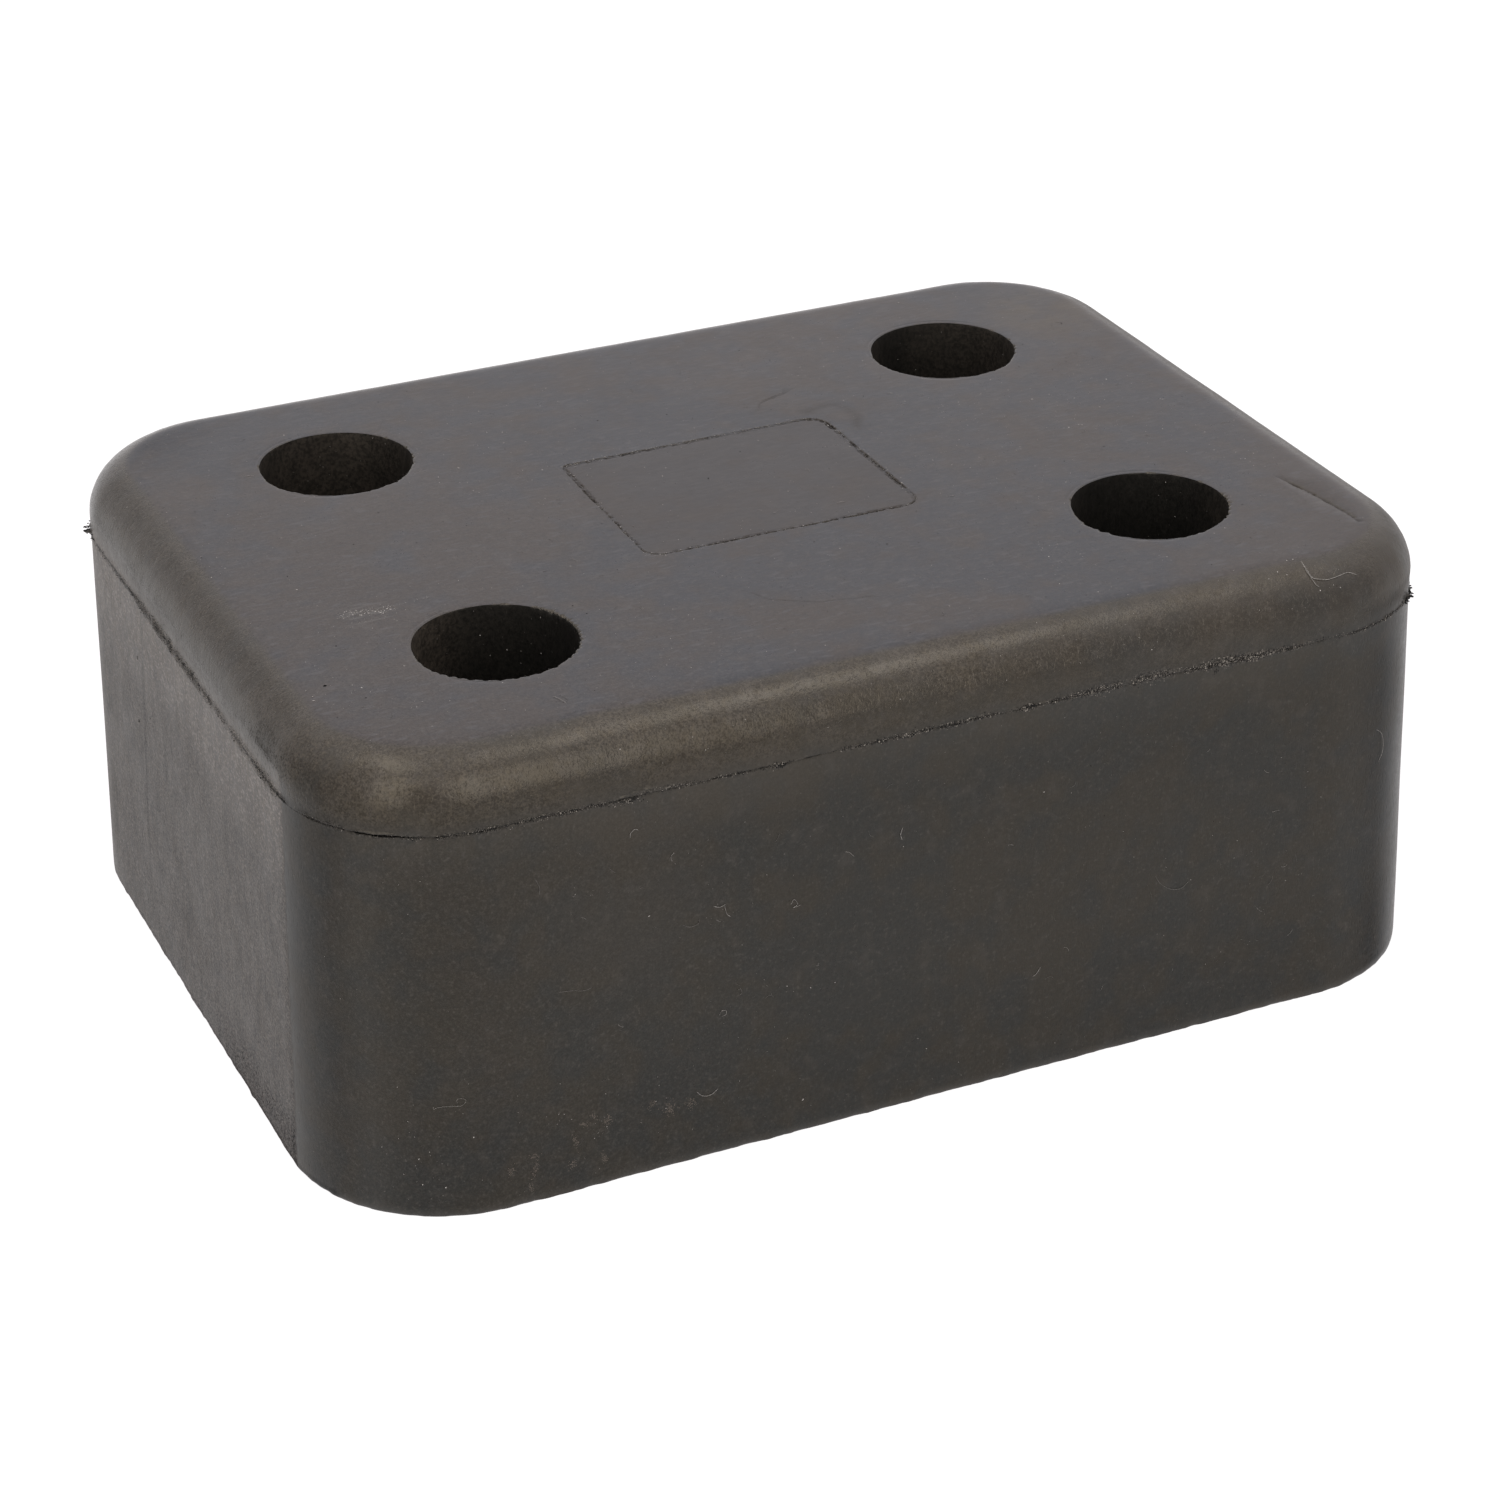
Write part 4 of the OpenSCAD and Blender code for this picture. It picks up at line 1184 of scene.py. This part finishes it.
    # light bloom and fuzz of dust
    col = g.mix(g.mul(g.step(mottle, 0.52, 0.80), 0.26), col, (0.034, 0.030, 0.027))
    col = g.mix(g.mul(g.step(speck, 0.60, 0.78), 0.26), col, (0.048, 0.044, 0.040))
    col = g.mix(g.mul(g.step(wisp, 0.58, 0.72), top, 0.34), col, (0.044, 0.043, 0.047))
    # brown film on the rounded edge
    film = g.mul(edge, g.step(g.plus(g.mul(patch, 0.5), g.mul(run, 0.5)), 0.30, 0.62, 0.45, 1.0))
    col = g.mix(g.mul(film, 0.45), col, (0.0220, 0.0162, 0.0095))
    # a paler zone on the left part of the front, most of all just below the line
    zone = g.mul(front, g.plus(g.mul(g.near(-52, -74.5, 46, 3, 21), 0.30), g.mul(g.mul(g.step(px, -0.066, -0.054), g.step(px, -0.014, -0.028)), g.step(pz, 0.0540, 0.0630), 0.26)))
    col = g.mix(zone, col, (0.0225, 0.0180, 0.0132))
    # the left rounded edge is duller, and so is its lowest part most of all
    side_edge = g.mul(edge, g.step(nx, -0.25, -0.60), g.step(py, -0.054, -0.044))
    col = g.mix(g.mul(side_edge, g.step(pz, 0.0740, 0.0695, 0.25, 0.85)), col, (0.0088, 0.0070, 0.0042))
    # yellowish dust by the back right corner of the top
    corner_dust = g.mul(top, g.near(85, 47, 78, 3, 21))
    col = g.mix(g.mul(corner_dust, g.step(hue_m, 0.35, 0.65, 0.25, 0.60)), col, (0.0290, 0.0205, 0.0100))
    # seam: torn rubber, dark with pale dust
    torn = g.mix(g.step(grain, 0.42, 0.62), (0.005, 0.005, 0.005), (0.040, 0.036, 0.031))
    col = g.mix(g.mul(torn_k, 0.75), col, torn)
    # painted shade: the open crack is darkened in colour, on top of the shade its depth casts; its specular level is
    # cut further below
    col = g.mix(crack, col, (0.002, 0.002, 0.002))
    # groove: two scored lines, uneven and dotted, and other marks; their dark colour is painted shade in the grooves
    # and the crease
    inside = g.step(gd, 0.1, -0.5)
    dots = g.step(grain, 0.36, 0.60)
    groove = g.mul(dark, g.plus(0.55, g.mul(dots, 0.45)))
    col = g.mix(g.mul(dark, 0.70), col, g.mix(dots, (0.030, 0.026, 0.023), (0.004, 0.004, 0.004)))
    col = g.mix(g.mul(inside, 0.46), col, (0.0110, 0.0070, 0.0046))
    col = g.mix(g.mul(smear, 0.8), col, (0.0075, 0.0050, 0.0035))
    scuff = g.near(-73.5, -20.0, 78.0, 1.5, 7.0)
    col = g.mix(g.mul(scuff, g.step(wisp, 0.46, 0.62), 0.34), col, (0.064, 0.060, 0.056))
    # walls of the holes: paler with dust and with painted light on their lit sides, dark as painted shade on their
    # shaded sides
    col = g.mix(in_bore, col, g.mix(g.mul(bore, g.step(mottle, 0.3, 0.7, 0.65, 1.05), g.step(speck, 0.36, 0.62, 0.55, 1.30)), (0.0032, 0.0033, 0.0032), (0.0460, 0.0380, 0.0300)))
    g.put(g.bsdf.inputs["Base Color"], col)

    r = g.plus(0.36, g.mul(g.mid(patch), 0.14), g.mul(g.mid(speck), 0.20), g.mul(g.mid(grain), 0.12))
    r = g.plus(r, g.mul(edge, g.step(nx, 0.15, 0.50, -0.105, 0.10)), g.mul(left, 0.13), g.mul(g.mid(drawn), g.inv(top), 0.14))
    r = g.plus(r, g.mul(torn_k, 0.22), g.mul(groove, 0.25), g.mul(in_bore, 0.10))
    r = g.plus(r, g.mul(scuff, 0.05), g.mul(top, g.mid(wisp), 0.16))
    g.put(g.bsdf.inputs["Roughness"], g.math("MINIMUM", g.math("MAXIMUM", r, 0.20), 0.95))
    g.bsdf.inputs["IOR"].default_value = 1.46
    level = g.plus(0.50, g.mul(turn, -0.21), g.mul(front, g.plus(-0.068, g.mul(g.step(px, -0.02, 0.06), -0.014))), g.mul(right, -0.29), g.mul(in_bore, -0.12), g.mul(inside, -0.035))
    level = g.plus(level, g.mul(left, g.plus(g.plus(-0.09, g.mul(high, 0.36), g.mul(g.step(py, 0.028, 0.044), 0.06)), g.plus(g.mul(scored, -0.14), g.mul(g.mid(streak), 0.20)), g.plus(g.mul(g.step(pz, 0.034, 0.010), -0.05), g.mul(g.step(pz, 0.012, 0.003), g.step(py, 0.010, -0.030), -0.22)))), g.mul(front, g.plus(g.mul(g.step(pz, 0.055, 0.0655), 0.075), g.mul(g.step(pz, 0.0610, 0.0650), 0.03))), g.mul(smear, -0.15))
    sparkle = g.plus(g.mul(soot, -0.22), g.mul(g.mid(speck), g.plus(0.07, g.mul(top, 0.10))), g.plus(g.mul(g.mid(mottle), edge, 0.16), g.mul(side_edge, g.step(pz, 0.0735, 0.0690, -0.10, -0.37))))
    level = g.plus(level, g.mul(front, g.step(pz, 0.030, 0.004), -0.070), 0.012)
    foot = g.step(pz, 0.0018, 0.0008)
    level = g.plus(level, sparkle, g.mul(foot, g.plus(0.12, g.mul(left_w, -0.30))))
    far = g.mul(top, g.near(-89, 66, 78, 4, 22))
    level = g.plus(level, g.mul(far, -0.20), g.mul(edge, g.step(ny, -0.5, -0.8), g.step(pz, 0.0705, 0.0675), -0.07))
    level = g.math("MAXIMUM", g.plus(level, g.mul(torn_k, g.step(grain, 0.60, 0.40, 0.03, -0.30)), g.plus(g.mul(crack, -0.42), g.mul(groove, -0.34))), 0.02)
    g.put(g.bsdf.inputs["Specular IOR Level"], level)
    hues = g.step(g.plus(g.mul(hue_s, 0.5), g.mul(hue_m, 0.5)), 0.40, 0.60)
    tint = g.mix(top, g.mix(left, (1.0, 0.938, 0.832), g.mix(hues, (1.0, 0.900, 0.745), (1.0, 0.935, 0.845))), (1.0, 0.982, 0.962))
    tint = g.mix(edge, tint, g.mix(hues, (1.0, 0.915, 0.780), (1.0, 0.945, 0.860)))
    tint = g.mix(g.mul(side_edge, 0.8), tint, (1.0, 0.905, 0.775))
    tint = g.mix(g.mul(edge, g.step(ny, -0.5, -0.8), g.step(px, 0.005, 0.045), 0.6), tint, (1.0, 0.960, 0.900))
    g.put(g.bsdf.inputs["Specular Tint"], tint)

    # fine relief, in millimetres
    fine = g.mul(g.plus(g.mul(grain, 0.55), g.mul(speck, 0.45)), g.plus(0.0105, g.mul(left, 0.036), g.mul(edge, 0.024)))
    soft = g.mul(mottle, g.plus(0.026, g.mul(left, 0.036), g.mul(edge, 0.028)))
    wiped = g.mul(wisp, top, 0.010)
    marks = g.mul(g.plus(g.mul(g.step(drawn, 0.58, 0.70), -0.008), g.mul(run, 0.008)), g.inv(top), g.plus(1.0, g.mul(left, 0.8), g.mul(edge, 1.2)))
    n = g.bump(g.plus(fine, soft, g.plus(wiped, marks), g.mul(torn_k, grain, 0.12)), 1.0, 1.0)
    g.put(g.bsdf.inputs["Normal"], n)
    return g.mat


def plain(name, color, rough, grain_mm=0.25, spread=0.35, level=0.5):
    """Small bits: one colour that varies a little, rough."""
    g = Graph(name)
    n1 = g.noise(grain_mm, 2, 0.6)
    lo_c = tuple(c * (1 - spread) for c in color)
    hi_c = tuple(min(1.0, c * (1 + spread)) for c in color)
    g.put(g.bsdf.inputs["Base Color"], g.mix(g.step(n1, 0.35, 0.65), lo_c, hi_c))
    g.put(g.bsdf.inputs["Roughness"], g.plus(rough, g.mul(g.mid(n1), 0.2)))
    g.put(g.bsdf.inputs["Normal"], g.bump(n1, 0.4, 0.02))
    g.bsdf.inputs["Specular IOR Level"].default_value = level
    return g.mat


block.data.materials.append(rubber())
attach(block, "root")
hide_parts("buffer_block")
for ob, mats in ((crumbs, (plain("torn_rubber", (0.0045, 0.0042, 0.0040), 0.55, level=0.22), plain("torn_rubber_dusty", (0.135, 0.122, 0.107), 0.75))),
                 (dust_ob, (plain("dust_pale", (0.26, 0.248, 0.232), 0.9), plain("dust_grey", (0.095, 0.088, 0.080), 0.9),
                           plain("dark_speck_and_painted_shade", (0.003, 0.003, 0.003), 0.9, level=0.05), plain("dried_pale", (0.060, 0.049, 0.039), 0.8))),
                 (lint, (plain("lint_pale", (0.185, 0.176, 0.165), 0.9), plain("lint_grey", (0.085, 0.080, 0.074), 0.9)))):
    for m in mats:
        ob.data.materials.append(m)
    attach(ob, "root")

# ------------------------------------------------------------------ floor and light
floor_me = bpy.data.meshes.new("floor")
floor_me.from_pydata([(-6, -6, 0), (6, -6, 0), (6, 6, 0), (-6, 6, 0)], [], [(0, 1, 2, 3)])
floor = bpy.data.objects.new("floor", floor_me)
scene.collection.objects.link(floor)
fm = bpy.data.materials.new("floor_lit_white")
fm.use_nodes = True
fb = fm.node_tree.nodes["Principled BSDF"]
fb.inputs["Base Color"].default_value = (0.10, 0.10, 0.10, 1)
fb.inputs["Roughness"].default_value = 0.9
fb.inputs["Specular IOR Level"].default_value = 0.1
fb.inputs["Emission Color"].default_value = (1, 0.98, 0.99, 1)
fb.inputs["Emission Strength"].default_value = 0.94
floor.data.materials.append(fm)

world = bpy.data.worlds.new("studio")
scene.world = world
world.use_nodes = True
wt = world.node_tree
bg = wt.nodes["Background"]
bg.inputs["Color"].default_value = (1.0, 0.965, 0.985, 1)
# the tent is brighter overhead than at the sides
way = wt.nodes.new("ShaderNodeTexCoord")
part = wt.nodes.new("ShaderNodeSeparateXYZ")
ramp = wt.nodes.new("ShaderNodeMapRange")
ramp.inputs["From Min"].default_value, ramp.inputs["From Max"].default_value = 0.46, 0.92
ramp.inputs["To Min"].default_value, ramp.inputs["To Max"].default_value = 1.03, 1.98
wt.links.new(way.outputs["Generated"], part.inputs[0])
wt.links.new(part.outputs["Z"], ramp.inputs["Value"])
wt.links.new(ramp.outputs[0], bg.inputs["Strength"])


def softbox(name, at_, aim, size, radiance, color):
    d = bpy.data.lights.new(name, "AREA")
    d.shape, d.size, d.size_y = "RECTANGLE", size[0], size[1]
    d.energy = radiance * math.pi * size[0] * size[1]
    d.color = color
    o = bpy.data.objects.new(name, d)
    scene.collection.objects.link(o)
    o.location = at_
    o.rotation_mode = "QUATERNION"
    o.rotation_quaternion = (Vector(aim) - Vector(at_)).to_track_quat("-Z", "Y")


def around(azimuth, elevation, dist, centre):
    a, e = math.radians(azimuth), math.radians(elevation)
    return (centre[0] + dist * math.cos(a) * math.cos(e), centre[1] + dist * math.sin(a) * math.cos(e), centre[2] + dist * math.sin(e))


softbox("softbox_right", around(280, 28, 1.0, (-0.06, -0.07, 0.07)), (-0.06, -0.07, 0.07), (0.44, 0.76), 2.38, (1.0, 0.93, 0.82))
softbox("softbox_left", around(220.5, 26, 1.0, (-0.09, -0.065, 0.07)), (-0.09, -0.065, 0.07), (0.32, 0.98), 2.55, (1.0, 0.93, 0.82))
softbox("strip_right", (0.39, -0.22, 1.075), (0.39, -0.22, 0.0), (0.23, 0.46), 2.9, (1.0, 0.94, 0.84))
softbox("strip_left", (-0.42, -0.02, 1.075), (-0.42, -0.02, 0.0), (0.34, 0.50), 2.3, (1.0, 0.94, 0.84))
